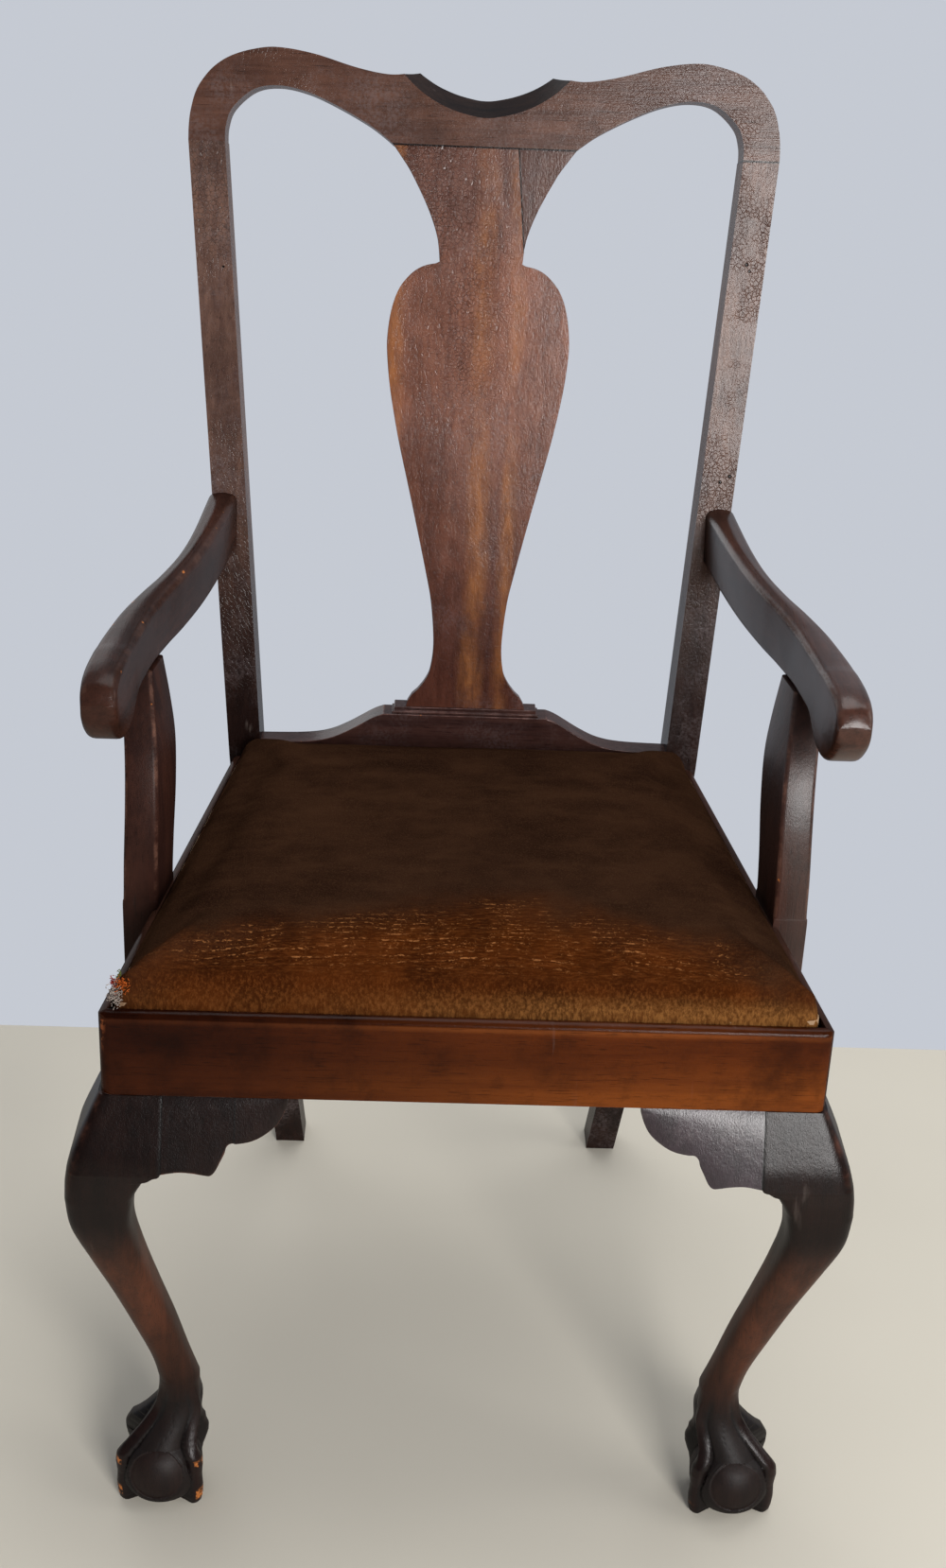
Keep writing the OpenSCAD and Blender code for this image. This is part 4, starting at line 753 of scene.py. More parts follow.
def foot_rows():
    """The claw-and-ball foot, row by row: its points, and how worn, chipped, inky and matt they are."""
    foot, web = np.array(FOOT), np.array(WEB)
    low = LEG[-1]
    ankle_c, ankle_r = (low[2] * START - low[1] * STOCK) / 2, (low[2] * START + low[1] * STOCK) / 2
    middles = [FOOT_TURN + math.radians(k) for k in (-90, 0, 90, 180)]
    none = np.zeros(LEG_SIDES)
    for z in np.linspace(0, FOOT_H, FOOT_ROWS)[:-1]:
        t = z / FOOT_H
        front, back, r = (np.interp(t, foot[:, 0], foot[:, k]) for k in (1, 2, 3))
        front, back, r = front * REACH, back * REACH, r * CLAW_R
        lean = 1.0 if t < 0.43 else (1 + math.cos(min(1, (t - 0.43) / 0.38) * math.pi)) / 2
        x, y = lerp(HALF_W - ankle_c, HALF_W - FOOT_IN, lean), lerp(ankle_c, FOOT_BACK, lean)
        dz = z - BALL_R * 0.94
        ball = math.sqrt(max(0.0, BALL_R ** 2 - dz * dz))
        # the web wraps the ball, and is cut away in a round window on each side
        window = none
        for m in middles:
            ux, uz = ball * np.cos(ANGLE - m) / BALL_R, dz / BALL_R
            away = np.degrees(np.arccos(np.clip(ux * math.cos(WINDOW_LIFT) + uz * math.sin(WINDOW_LIFT), -1, 1)))
            window = np.maximum(window, ease(away, WINDOW, WINDOW - 2) * (np.cos(ANGLE - m) > 0))
            window = np.maximum(window, ease(away, WINDOW + 3, WINDOW + 2) * ease(away, WINDOW, WINDOW + 1) * 0.25)
        skin = np.interp(t, web[:, 0], web[:, 1]) * REACH if t > 0.405 else 0.0
        wrap = ball + WEB_T * ease(z, 2, 8) * (1 - window)
        base = np.maximum(wrap, np.where(window > 0.5, 0.0, skin)) if ball > 0 else none + skin
        base = np.where(base < skin * (z > 44), skin, base)
        # round claws below, that rise to a ridge above the ball and run out into the ankle
        sharp = 0.8 * ease(t, 0.42, 0.52) * ease(t, 0.99, 0.8)
        aim = lerp(*CLAW_AIM, t * t)
        claws, edge, pressed = none, none, none
        for c, reach in ((aim, front), (math.pi - aim, front), (math.pi / 4, back), (3 * math.pi / 4, back)):
            d = turned(ANGLE - FOOT_TURN - c)
            off = np.abs((reach - r) * np.sin(d))
            ahead = np.cos(d) > 0
            ok = ahead & (off < r)
            share = np.clip(off / r, 0, 1)
            top = (reach - r) * np.cos(d) + r * (np.sqrt(1 - share ** 2) * (1 - sharp) + (1 - share) ** 0.9 * sharp)
            claws = np.where(ok, np.maximum(claws, top), claws)
            pressed = np.maximum(pressed, np.where(ahead, np.exp(-(off - r) ** 2), 0))
            edge = np.maximum(edge, np.where(ok, 1 - share, 0))
        # punched dots down the middle of each web
        dots = none
        if 0.46 < t < 0.86:
            for k in range(11):
                for m, sway in ((middles[0], 1.0), (middles[2], -1.0)):
                    off = turned(ANGLE - m) * base - sway * 1.6 * math.sin(k * 1.1)
                    dots = np.maximum(dots, np.exp(-((off / DOT_R) ** 2 + ((z - DOT_Z - k * DOT_STEP) / DOT_R) ** 2)))
        groove, soft = (0.8, 0.5) if t < 0.42 else (0.3, 1.3 * ease(t, 1, 0.85) + 0.05)
        d = smooth_max(base - groove * pressed * (z > 3) - 0.16 * dots, claws, soft)
        blend = ease(t, 0.84, 1.0)
        d = lerp(d, superellipse(ankle_r, low[3]), blend)
        on_claw = claws > base
        tip = on_claw * (np.exp(-((z - 8) / 5.0) ** 2) + 0.8 * np.exp(-((z - 31) / 3.5) ** 2))
        grime = 0.5 * ease(t, 0.9, 0.6) * (window < 0.5) * (z > 6) * ~on_claw
        dark = (pressed * 0.7 + dots * 0.5) * (1 - blend) + grime
        yield (leg_ring(x, y, d, z), np.clip(edge * on_claw * 0.2 * (1 - blend), 0, 1),
               np.clip(tip * np.where((SIN < 0.1) & (edge > 0.3), 1.0, 0.1), 0, 1), np.clip(dark, 0, 0.85),
               (~on_claw & (3 < z) & (t < 0.85)) * 1.0)


def shin_rows():
    """The leg from the ankle to the rail, row by row, as in foot_rows."""
    low = LEG[-1][0]
    none, degrees = np.zeros(LEG_SIDES), np.degrees(ANGLE)
    for share, out, inn, power in curve(LEG[::-1], 8):
        z = lerp(FOOT_H, RAIL_BOT, (share - low) / (1 - low))
        out, inn = out * STOCK, (min(1.0, inn) if share >= 0.865 else inn) * START
        half, c = (out + inn) / 2, (inn - out) / 2
        # the edges that meet the brackets stay crisp
        square = power + (140 - power) * ease(share, 0.85, 0.868) * np.where((COS < 0) | (SIN > 0), 1, 0)
        corner = np.exp(-((degrees - 315) / 9) ** 2)
        glue = sum(np.exp(-((degrees - a) / 1.6) ** 2) for a in (45, 225))
        yield (leg_ring(HALF_W - c, c, superellipse(half, square), z), corner * 0.5 * ease(share, 0.7, 0.9),
               none, 0.95 * glue * ease(share, 0.866, 0.872), none)


def front_leg(side, material):
    rings, wear, chip, inky, matt = zip(*foot_rows(), *shin_rows())
    mesh = loft(rings, "leg", side)
    ring_values(mesh, "wear", wear)
    ring_values(mesh, "chip", chip, 1.0 if side == LEFT else 0.45)
    ring_values(mesh, "inky", inky)
    matt = np.append(np.concatenate(matt), [0, 0])
    for p in mesh.polygons:
        p.material_index = int(matt[list(p.vertices)].mean() > 0.5)
    # the stub that stands up in the corner
    plan = [(HALF_W - START, STUB_IN), (side_x(STUB_IN, STUB_IN), STUB_IN), (side_x(START, STUB_IN), START),
            (HALF_W - START, START)]
    closed(prism(opened(mesh), *([row_frame(side * x, y, z) for x, y in plan] for z in (RAIL_BOT, STUB_TOP))), mesh)
    return frame_piece(f"front_leg_{SIDES[side]}", mesh, material, "carved", smooth=55, weighted=False, second=m_web)


# down the bracket's outline from the leg: shares of its length and of its height
BRACKET = [(0, 0.872), (0.135, 0.848), (0.251, 0.862), (0.34, 0.887), (0.392, 0.895), (0.431, 0.852), (0.472, 0.739),
           (0.505, 0.642), (0.52, 0.567), (0.554, 0.523), (0.615, 0.521), (0.718, 0.496), (0.815, 0.431),
           (0.914, 0.316), (0.969, 0.185), (1, 0.05)]
BRACKET_L, BRACKET_H, BRACKET_T, BRACKET_ROUND = 65.0, 44.0, 17.0, 0.0009
KNEE_SWELL, BRACKET_ROWS = 0.356, 12
TIP = (70.8 - START) / BRACKET_L    # the share at which the left bracket's glued tip begins


def bracket_mesh(along_side, side, start, end):
    """The part of a knee bracket between two shares of its length, swelling towards the knee."""
    whole = curve(BRACKET, 6)
    shares = [p for p in whole if start <= p[0] <= end]
    for edge, at in ((start, 0), (end, len(shares) + 1)):
        if 0 < edge < 1:
            shares.insert(at, (edge, float(np.interp(edge, whole[:, 0], whole[:, 1]))))
    rings = []
    for s, drop in shares:
        d = drop * BRACKET_H
        swell = STOCK * KNEE_SWELL * max(0.0, 1 - s) ** 0.25
        ring = [(-swell * (i / BRACKET_ROWS * drop) ** 0.8, -i / BRACKET_ROWS * d) for i in range(BRACKET_ROWS + 1)]
        ring += [(BRACKET_T, -d), (BRACKET_T, 0.0)]
        y = START + s * BRACKET_L
        rings.append([(side_x(y, depth), y, RAIL_BOT + z) if along_side else (HALF_W - y, depth, RAIL_BOT + z)
                      for depth, z in ring])
    bm = opened(loft(rings, "bracket", side))
    bmesh.ops.dissolve_degenerate(bm, dist=1e-6, edges=bm.edges)

    def joint(e):
        return any(f.normal.z > 0.9 or abs(f.normal.y if along_side else f.normal.x) > 0.95 for f in e.link_faces)
    bevelled(bm, BRACKET_ROUND, 40, 2, joint)
    lines = []
    for edge, way in ((start, 1), (end, -1)):
        if edge < 1:
            at = START + edge * BRACKET_L
            point = row_frame(0, at, 0) if along_side else Vector((side * (HALF_W - at) * MM, 0, 0))
            lines.append((point, (0, way, 0) if along_side else (-side * way, 0, 0), 0.0005, lambda c: True))
    return glue_lines(finish_mesh(bm, "bracket"), lines)


# ---- arms and supports -------------------------------------------------------------------------

ARM_W, ARM_H, ARM_LEVEL, ARM_HOOK, ARM_FRONT = 20.0, 34.0, 467.0, 11.0, 55.0
ARM_XF, ARM_XB = 191.2, 156.6    # the arm's middle at the scroll and at the stile
ARM_ROUND, ARM_CROWN = 4.6, 0.7
# from the scroll back: shares of the way back, of the way out, of the height, of the hook below and of the width
ARM = [[0, 1, 0.6, -1.64, 0.84], [0.006, 1, 0.72, -1, 0.9], [0.018, 1, 0.853, -0.5, 0.94], [0.04, 1, 0.932, 0.1, 0.96],
       [0.066, 0.996, 0.965, 0.6, 0.98], [0.1, 0.988, 0.975, 0.92, 1], [0.15, 0.974, 0.97, 0.92, 1],
       [0.185, 0.958, 0.95, 0.5, 1], [0.22, 0.94, 0.945, 0.08, 0.99], [0.28, 0.893, 0.945, 0, 0.96],
       [0.36, 0.81, 0.955, 0, 0.9], [0.45, 0.65, 0.985, 0, 0.8], [0.54, 0.46, 1.01, -0.02, 0.72],
       [0.66, 0.26, 1.045, -0.1, 0.69], [0.8, 0.12, 1.09, -0.22, 0.76], [1, 0, 1.147, -0.36, 0.9]]


def round_box(x, w, low, high, r, crown, n=5):
    """A rectangle with round corners, its top a little crowned. Returns points and their wear."""
    out, wear = [], []
    left, right = x - w / 2 + r, x + w / 2 - r
    corners = (right, low + r, -90, 0.4), (right, high - r, 0, 1), (left, high - r, 90, 1), (left, low + r, 180, 0.4)
    for cx, cz, a0, k in corners:
        for i in range(n + 1):
            a = math.radians(a0 + 90 * i / n)
            out.append((cx + r * math.cos(a), cz + r * math.sin(a)))
            wear.append(k * math.sin(math.pi * i / n))
        if a0 == 0:
            for t in (i / 6 for i in range(1, 6)):
                out.append((lerp(right, left, t), high + crown * math.sin(math.pi * t)))
                wear.append(0)
    return out, wear


def arm_piece(side, material):
    back = face_y(ARM_LEVEL + ARM_H)
    rings, wear = [], []
    for s in curve(ARM, 9):
        y, x = lerp(ARM_FRONT, back, s[0]), lerp(ARM_XB, ARM_XF, s[1])
        high, low = ARM_LEVEL + s[2] * ARM_H, ARM_LEVEL - s[3] * ARM_HOOK
        box, worn = round_box(x, s[4] * ARM_W, low, high, min(ARM_ROUND, (high - low) * 0.4), ARM_CROWN)
        # the last ring lies against the stile's raked face
        rings.append([(px, y if s[0] < 0.999 else face_y(pz) - 0.05, pz) for px, pz in box])
        wear.append(np.array(worn) * (1.0 if s[0] > 0.01 else 0.5))
    mesh = loft(rings, "arm", side)
    ring_values(mesh, "wear", wear)
    frame_piece(f"arm_{SIDES[side]}", mesh, material, smooth=50, weighted=False)


# from the rail up: shares of the height, of the sweep back, of the depth, lean, thickness and rounding
SUPPORT = [[0, 0, 1, 0, 1, 0.01], [0.26, 0, 1, 0, 1, 0.01], [0.3, 0, 1, -0.01, 1, 0.12],
           [0.43, 0, 1.07, -0.037, 0.99, 0.14], [0.6, 0.1, 1.16, -0.04, 0.97, 0.14],
           [0.75, 0.31, 1.16, 0.053, 0.95, 0.14], [0.87, 0.615, 1, 0.253, 0.93, 0.14], [1, 1, 0.73, 0.516, 0.92, 0.14]]
SUPPORT_T, SUPPORT_W, SUPPORT_Y, SUPPORT_DROP, SWEEP, LET_IN = 19.0, 37.0, 110.0, 5, 39.0, 4.0


def support_piece(side, material):
    rings, wear = [], []
    for s in curve(SUPPORT, 8):
        z = lerp(RAIL_BOT + SUPPORT_DROP, ARM_LEVEL, s[0])
        front = SUPPORT_Y + s[1] * SWEEP
        back = front + s[2] * SUPPORT_W
        lean, w, e = s[3] * SUPPORT_T, s[4] * SUPPORT_T / math.cos(SIDE), max(0.3, s[5] * SUPPORT_T)
        ring, worn = [], []
        corners = (w - e, front + e, -90, 1), (w - e, back - e, 0, 0.7), (e, back - e, 90, 0.5), (e, front + e, 180, 1)
        for cx, cy, a0, k in corners:
            for i in range(5):
                a = math.radians(a0 + 90 * i / 4)
                px, py = cx + e * math.cos(a), cy + e * math.sin(a)
                ring.append((side_x(py, LET_IN) + lean + px, py, z))
                worn.append(k * math.sin(math.pi * i / 4))
        rings.append(ring)
        wear.append(worn)
    mesh = loft(rings, "support", side)
    ring_values(mesh, "wear", wear)
    frame_piece(f"arm_support_{SIDES[side]}", mesh, material, smooth=50, weighted=False)


# ---- the seat ----------------------------------------------------------------------------------

SEAT_EDGE, SEAT_GAP, SEAT_LOW, CLOTH_T = 5.4, 0.4, 329.3, 1.2
SEAT_R_FRONT, SEAT_R_BACK = 7.0, 13.0
CORNER_STEPS, EDGE_STEPS = 8, 26
SEAT_MIDDLE = Vector((0, (SEAT_EDGE + SEAT_D) / 2))
DRAWN_IN, DRAWN_LOW, DRAWN_Z = 0.9, 0.2, 345    # how far the cushion's sides are drawn in, above and below a height
VOXEL, REBATE_SHARE = 0.0045, 0.9985
THREAD_R, THREAD_SIDES, THREAD_STEPS = 0.2, 6, 6
SWELL_CAP, CUSHION_GROW, STRAP_WAVE, STRAP_PITCH = 0.005, 0.0012, 0.00022, 0.04    # metres
DUST_INSET, DUST_T, DUST_SAG, DUST_FOLD, DUST_PITCH = 15.0, 0.45, 2.2, 0.25, 0.02
HESSIAN_AREA, HESSIAN_WAVE, HESSIAN_CUT, STRAP_CUT = 0.0929, 0.00012, 0.012, 0.006    # square metres, and metres


def seat_outline(inset, draw=0.0):
    """The seat in plan, inside its rebate by a gap and an inset, its sides drawn in between the corners."""
    rf, rb = max(SEAT_R_FRONT - inset, CLOTH_T), max(SEAT_R_BACK - inset, CLOTH_T)

    def arc(y, r, low, high):
        turns = [math.radians(lerp(low, high, i / CORNER_STEPS)) for i in range(CORNER_STEPS + 1)]
        return [(side_x(y, SEAT_EDGE + inset + r) + r * math.cos(a), y + r * math.sin(a)) for a in turns]
    a = math.degrees(SIDE)
    f = arc(SEAT_EDGE + inset + rf, rf, -90, a)
    b = arc(SEAT_D - SEAT_GAP - inset - rb, rb, a, 90)
    bm, fm = mirrored(b), mirrored(f)

    def run(p, q):
        n = Vector((p[1] - q[1], q[0] - p[0])).normalized()
        for t in (i / EDGE_STEPS for i in range(1, EDGE_STEPS)):
            k = draw * math.sin(math.pi * t)
            yield lerp(p[0], q[0], t) + n.x * k, lerp(p[1], q[1], t) + n.y * k
    return [*f, *run(f[-1], b[0]), *b, *run(b[-1], bm[0]), *bm, *run(bm[-1], fm[0]), *fm, *run(fm[-1], f[0])]


def shrunk(outline, share):
    """An outline drawn in towards the seat's middle."""
    return [SEAT_MIDDLE + (Vector(p) - SEAT_MIDDLE) * share for p in outline]


# the start of the cushion, from below: heights, insets, and shares of the outline's distance from the middle
CUSHION = ((SEAT_LOW + 0.2, 0.5, 1), (333, 0.3, 1), (337, 0.2, 1), (341, 0.3, 1), (345, 0.4, 1), (349, 0.6, 1),
           (353, 1.3, 1), (357, 3.2, 1), (360, 6.5, 1), (362, 11, 1), (363.2, 16, 1), (364.4, 16, 0.85),
           (365.4, 16, 0.68), (366.2, 16, 0.5), (366.8, 16, 0.3), (367, 16, 0.12))


def cushion_start():
    """The cushion's plain form, a little small, for the cloth to swell from."""
    return loft([[(x, y, z) for x, y in shrunk(seat_outline(inset, DRAWN_IN if z > DRAWN_Z else DRAWN_LOW), share)]
                 for z, inset, share in CUSHION], "cushion")


def held_between(value, low, high):
    """0 at low and below, 1 at high and above (or the other way round), straight between."""
    return max(0.0, min(1.0, (value - low) / (high - low)))


def swell(o):
    """Blows the cushion up as cloth held at the rails, and returns how far each vertex moved, capped."""
    rest = np.array([v.co for v in o.data.vertices])
    pins = o.vertex_groups.new(name="held")
    for v in o.data.vertices:
        held = held_between(v.co.z / MM, 346, 340)
        if held > 0:
            pins.add([v.index], held, "REPLACE")
    c = o.modifiers.new("cloth", "CLOTH")
    c.settings.use_pressure = True
    c.settings.uniform_pressure_force = 4
    c.settings.tension_stiffness = c.settings.compression_stiffness = 18
    c.settings.bending_stiffness = 2.0
    c.settings.effector_weights.gravity = 0
    c.settings.vertex_group_mass = "held"
    c.settings.quality = 6
    c.collision_settings.use_collision = False
    for f in range(1, 21):
        bpy.context.scene.frame_set(f)
    e = o.evaluated_get(bpy.context.evaluated_depsgraph_get())
    delta = np.array([v.co for v in e.data.vertices]) - rest
    o.modifiers.remove(c)
    o.vertex_groups.clear()
    bpy.context.scene.frame_set(1)
    size = np.linalg.norm(delta, axis=1)
    print("cushion moved", size.max(), "m")
    return delta * (np.minimum(size, SWELL_CAP) / np.maximum(size, 1e-9))[:, None]


def cushion_piece(material):
    o = new_object("seat_cushion", cushion_start())
    bpy.context.view_layer.objects.active = o
    o.select_set(True)
    m = o.modifiers.new("voxels", "REMESH")
    m.mode, m.voxel_size = "VOXEL", VOXEL
    bpy.ops.object.modifier_apply(modifier=m.name)
    co = np.array([v.co for v in o.data.vertices])
    co += swell(o)
    # the pad sits loosely: shallow dents and the pull of its nails along the edge
    for i, p in enumerate(co):
        top = held_between(p[2] / MM, 352, 362)
        q = Vector((p[0] * 9, p[1] * 9, 3.1))
        dent = noise.noise(q) * 1.1 + noise.noise(q * 3.1) * 0.45
        co[i, 2] += dent * top * MM
        if top < 1:
            wave = math.sin(p[0] * 210 + 2 * noise.noise(Vector((p[0] * 20, 0, 1))))
            ripple = wave * noise.noise(Vector((p[0] * 14, p[1] * 14, 7)))
            co[i, 1] += ripple * (1 - top) * held_between(p[2] / MM, 343, 348) * 0.5 * MM
    lo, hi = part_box("seat_cover")
    for axis in (0, 1):
        co[:, axis] = np.clip(co[:, axis], lo[axis] - CUSHION_GROW, hi[axis] + CUSHION_GROW)
    co[:, 2] = np.maximum(co[:, 2], lo.z)
    # below the rails' top it stays inside the rebate
    low = co[:, 2] < (RAIL_TOP + 1) * MM
    mid = np.array([0, (SEAT_EDGE + SEAT_D) / 2 * MM - MID])
    co[low, :2] = mid + (co[low, :2] - mid) * REBATE_SHARE
    o.data.vertices.foreach_set("co", co.ravel())
    sub = o.modifiers.new("smooth", "SUBSURF")
    sub.levels = sub.render_levels = 1
    bpy.ops.object.modifier_apply(modifier=sub.name)
    mesh = o.data
    bpy.data.objects.remove(o)
    o = piece("seat_cushion", mesh, material, "seat", ["seat_cover", "seat_stuffing"], "seat_velvet", 0, False)


def threads(name, light, dark, centre, spread, lean, count, length, seed):
    """Loose threads of a frayed corner: short closed tubes that stand out from the cloth."""
    s = Surface(name)
    fibre = s.noise(s.where, 2500, 3, 0.6)
    material = s.end(s.mix(s.ramp(fibre, 0.35, 0.65), dark, light), 0.9, fibre, 0.0001, 0.5, Specular_IOR_Level=0.1)
    rnd = random.Random(seed)
    bm = bmesh.new()
    turns = [2 * math.pi * i / THREAD_SIDES for i in range(THREAD_SIDES)]
    for _ in range(count):
        at = Vector([c + rnd.gauss(0, w) for c, w in zip(centre, spread)])
        way = (Vector(lean) + Vector([rnd.uniform(-0.8, 0.8) for _ in range(3)])).normalized()
        curl = Vector([rnd.uniform(-1, 1) for _ in range(3)]) * 0.9
        size = rnd.uniform(0.55, 1.1) * length
        rings = []
        for k in range(THREAD_STEPS + 1):
            if k:
                at = at + way * size / THREAD_STEPS
                way = (way + curl * (1 / THREAD_STEPS)).normalized()
            across = way.orthogonal().normalized()
            other = way.cross(across)
            at.z = max(at.z, RAIL_TOP + 0.6)    # over the rail's lip, not into it
            r = THREAD_R * (1 if 0 < k < THREAD_STEPS else 0.5)
            ring = [at + (across * math.cos(a) + other * math.sin(a)) * r for a in turns]
            rings.append([bm.verts.new(row_frame(*p)) for p in ring])
        for a, b in zip(rings, rings[1:]):
            for i in range(THREAD_SIDES):
                j = (i + 1) % THREAD_SIDES
                bm.faces.new((a[i], a[j], b[j], b[i]))
        bm.faces.new(rings[0][::-1])
        bm.faces.new(rings[-1])
    piece(name, finish_mesh(bm, name), material, "seat", [], "seat_velvet", 0, False)


def velvet():
    """Worn mohair velvet: olive-brown pile, rubbed to rust along the front, with rows of bright pin-point creases."""
    s = Surface("seat_velvet")
    x, y, z = (s.axis(i) for i in range(3))
    front = -MID
    drift = s.noise(s.moved((2, 5, 1)), 9, 5, 0.65)
    bow = s.mul(x, x, 1.25)
    place = s.add(y, bow, s.mul(s.sub(drift, 0.5), 0.085))
    rubbed = s.ramp(place, front + 0.086, front + 0.03)
    pile = s.noise(s.where, 1300, 3, 0.7)
    tufts = s.noise(s.stretch((1, 1, 0.28)), 620, 4, 0.7)
    cloud = s.noise(s.where, 17, 6, 0.66)
    nap = s.noise(s.stretch((0.4, 1, 1), (7, 2, 5)), 60, 5, 0.7)
    base = s.mix(s.ramp(cloud, 0.32, 0.7), OLIVE_DARK, OLIVE)
    base = s.mix(s.ramp(nap, 0.4, 0.75, 0, 0.5), base, OLIVE_LIGHT)
    base = s.mix(s.ramp(pile, 0.45, 0.75, 0, 0.6), base, OLIVE_TIP)
    rust = s.mix(s.ramp(cloud, 0.35, 0.68), RUST_DARK, RUST)
    on_top = s.ramp(z, 0.354, 0.361)
    lines = s.noise(s.stretch((0.22, 1, 1), (5, 5, 5)), 800, 4, 0.7)
    mottle = s.add(s.mul(lines, on_top), s.mul(tufts, s.sub(1.0, on_top)))
    rust = s.mix(s.ramp(mottle, 0.42, 0.72, 0, 0.55), rust, RUST_TIP)
    colour = s.mix(rubbed, base, rust)
    # the creases run along the front's upper edge and close up towards the left corner
    bend = s.noise(s.moved((1, 2, 3)), 16, 2)
    u = s.add(y, s.mul(bow, 0.45), s.mul(bend, 0.016))
    rows = s.ramp(s.math("SINE", s.mul(u, 1500)), 0.55, 0.98)
    dots = s.ramp(s.noise(s.stretch((0.4, 0.7, 1), (4, 1, 2)), 900, 2, 0.6), 0.5, 0.62)
    broken = s.ramp(s.noise(s.where, 55, 4, 0.65), 0.4, 0.58)
    band = s.mul(s.ramp(place, front + 0.068, front + 0.052), s.ramp(y, front + 0.016, front + 0.026))
    crease = s.mul(rows, dots, s.mul(broken, band))
    loose = s.mul(s.ramp(s.noise(s.where, 760, 2, 0.6), 0.6, 0.72), broken, band)
    crease = s.math("MAXIMUM", crease, s.mul(loose, 0.7))
    colour = s.mix(s.mul(crease, 0.6), colour, CREASE)
    # the pile stands longer and paler at the foot of the roll, more so to the right
    side = s.ramp(x, -0.12, 0.15, 0.12, 0.85)
    gold = s.mul(s.ramp(z, 0.355, 0.3445), s.ramp(y, front + 0.03, front + 0.012))
    gold = s.mul(gold, side, s.ramp(tufts, 0.34, 0.68, 0.25, 1.0))
    colour = s.mix(gold, colour, GOLD)
    lint = s.ramp(s.cells(s.stretch((1, 0.6, 1)), 70, "F1"), 0.032, 0.018)
    lint = s.mul(lint, s.ramp(s.noise(s.where, 33, 2), 0.58, 0.62))
    colour = s.mix(s.mul(lint, 0.45), colour, (0.3, 0.24, 0.14))
    height = s.add(s.mul(pile, 0.9), s.mul(tufts, 1.0))
    height = s.sub(height, s.mul(rows, band, 0.5))
    height = s.add(height, s.mul(nap, 0.5))
    return s.end(colour, 0.95, height, 0.0009, 0.8, Specular_IOR_Level=0.0)


def dust_cover_piece(material):
    """The lining under the seat, which sags a little between its tacks."""
    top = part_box("dust_cover")[1].z / MM - 0.05
    outline = seat_outline(DUST_INSET)
    rings = []
    for share in (1.0, 0.995, 0.98, 0.94, 0.86, 0.74, 0.6, 0.45, 0.3, 0.15):
        ring = []
        for x, y in shrunk(outline, share):
            fold = noise.noise(Vector((x, y - MID / MM, 0)) * DUST_PITCH)
            sag = -DUST_SAG * (1 - share * share) + DUST_FOLD * fold
            ring.append((x, y, top + sag * (share < 0.99)))
        rings.append(ring)
    under = [[(x, y, z - DUST_T) for x, y, z in ring] for ring in rings]
    mesh = loft(rings[::-1] + under, "dust_cover")
    o = piece("dust_cover_lining", mesh, material, "seat", ["dust_cover"], "black_cloth", 0, False)
    xs, ys = np.array(outline).T


def sliced_copy(cad, axes, step):
    """A copy of a CAD node cut across at even steps, so that it can be bent."""
    bm = cad_copy(cad)
    lo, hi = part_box(cad)
    for axis in axes:
        unit = Vector([float(i == axis) for i in range(3)])
        at = lo[axis] + step
        while at < hi[axis] - step / 2:
            slice_mesh(bm, unit * at, unit)
            at += step
    return bm


def strap_pieces(cad, axis, material):
    """Webbing straps that pass over and under each other."""
    bm = sliced_copy(cad, (axis,), STRAP_CUT)
    for v in bm.verts:
        v.co.z += STRAP_WAVE * math.sin(v.co[axis] * math.pi / STRAP_PITCH) * (1 if axis else -1)
    name = f"{cad}_woven"
    piece(name, finish_mesh(bm, name), material, "seat", [cad], "jute_webbing", 40, False)


def hessian_piece(material):
    bm = sliced_copy("hessian", (0, 1), HESSIAN_CUT)
    for v in bm.verts:
        v.co.z += HESSIAN_WAVE * noise.noise(v.co * 60)
    o = piece("hessian_cloth", finish_mesh(bm, "hessian"), material, "seat", ["hessian"], "hessian_cloth", 40, False)


# ---- build -------------------------------------------------------------------------------------

make_camera()
backdrop()
make_floor()
area_light("key", (0.72, -2.1, 1.06), (0.05, 0, 0.5), (0.72, 0.86), 46, (1.0, 0.98, 0.97))
area_light("side", (2.2, -0.6, 1.5), (0, 0, 0.4), (1.2, 1.2), 14, (1.0, 0.99, 0.97))
area_light("top", (0.3, 0.4, 2.5), (0, 0, 0.4), (1.6, 1.6), 27)
area_light("back", (-1.1, 1.9, 0.9), (0, 0.05, 0.4), (1.4, 1.4), 9)

# the stiles: painted shade, darker downwards from 620 mm and much darker below 360 mm, on the rear legs under the seat
m_stile = wood("mahogany_upright", "Z", (0.18, 0.098, 0.07), (0.07, 0.036, 0.028), 1, crackle=0.65, haze_and_sheen=0.45,
               coat=0.39, polish=0.2, uneven=1.6, rub=(0.07, 0.045, 0.038), scuffed=0.3,
               tint=[(2, 0.62, 0.36, (0.13, 0.1, 0.1))],
               marks=[(0.163, 0.6535, 0.0014), (0.165, 0.6497, 0.0011), (0.1608, 0.5269, 0.0014),
                      (0.1551, 0.5232, 0.0013), (-0.1574, 0.6411, 0.001)])
m_cross = wood("mahogany_cross", "X", (0.135, 0.062, 0.041), (0.056, 0.025, 0.0175), 2, crackle=0.15, haze_and_sheen=0.35,
               coat=0.43, polish=0.2, uneven=1.6, rub=(0.06, 0.036, 0.028), scuffed=0.25)
m_scoop = wood("mahogany_hand_hold", "X", (0.022, 0.012, 0.009), (0.006, 0.004, 0.004), 12, gloss=0.55, coat=0.16,
               polish=0.3)
m_shoe = wood("mahogany_shoe", "X", (0.06, 0.026, 0.02), (0.022, 0.01, 0.009), 8, haze_and_sheen=0.2)
# the side rails: their rubbed edges are painted dark, as painted shade where the cushion overhangs the rails' top lip
m_depth = wood("mahogany_depth", "Y", (0.06, 0.025, 0.016), (0.02, 0.0095, 0.007), 3, coat=0.12,
               rub=(0.04, 0.02, 0.015))
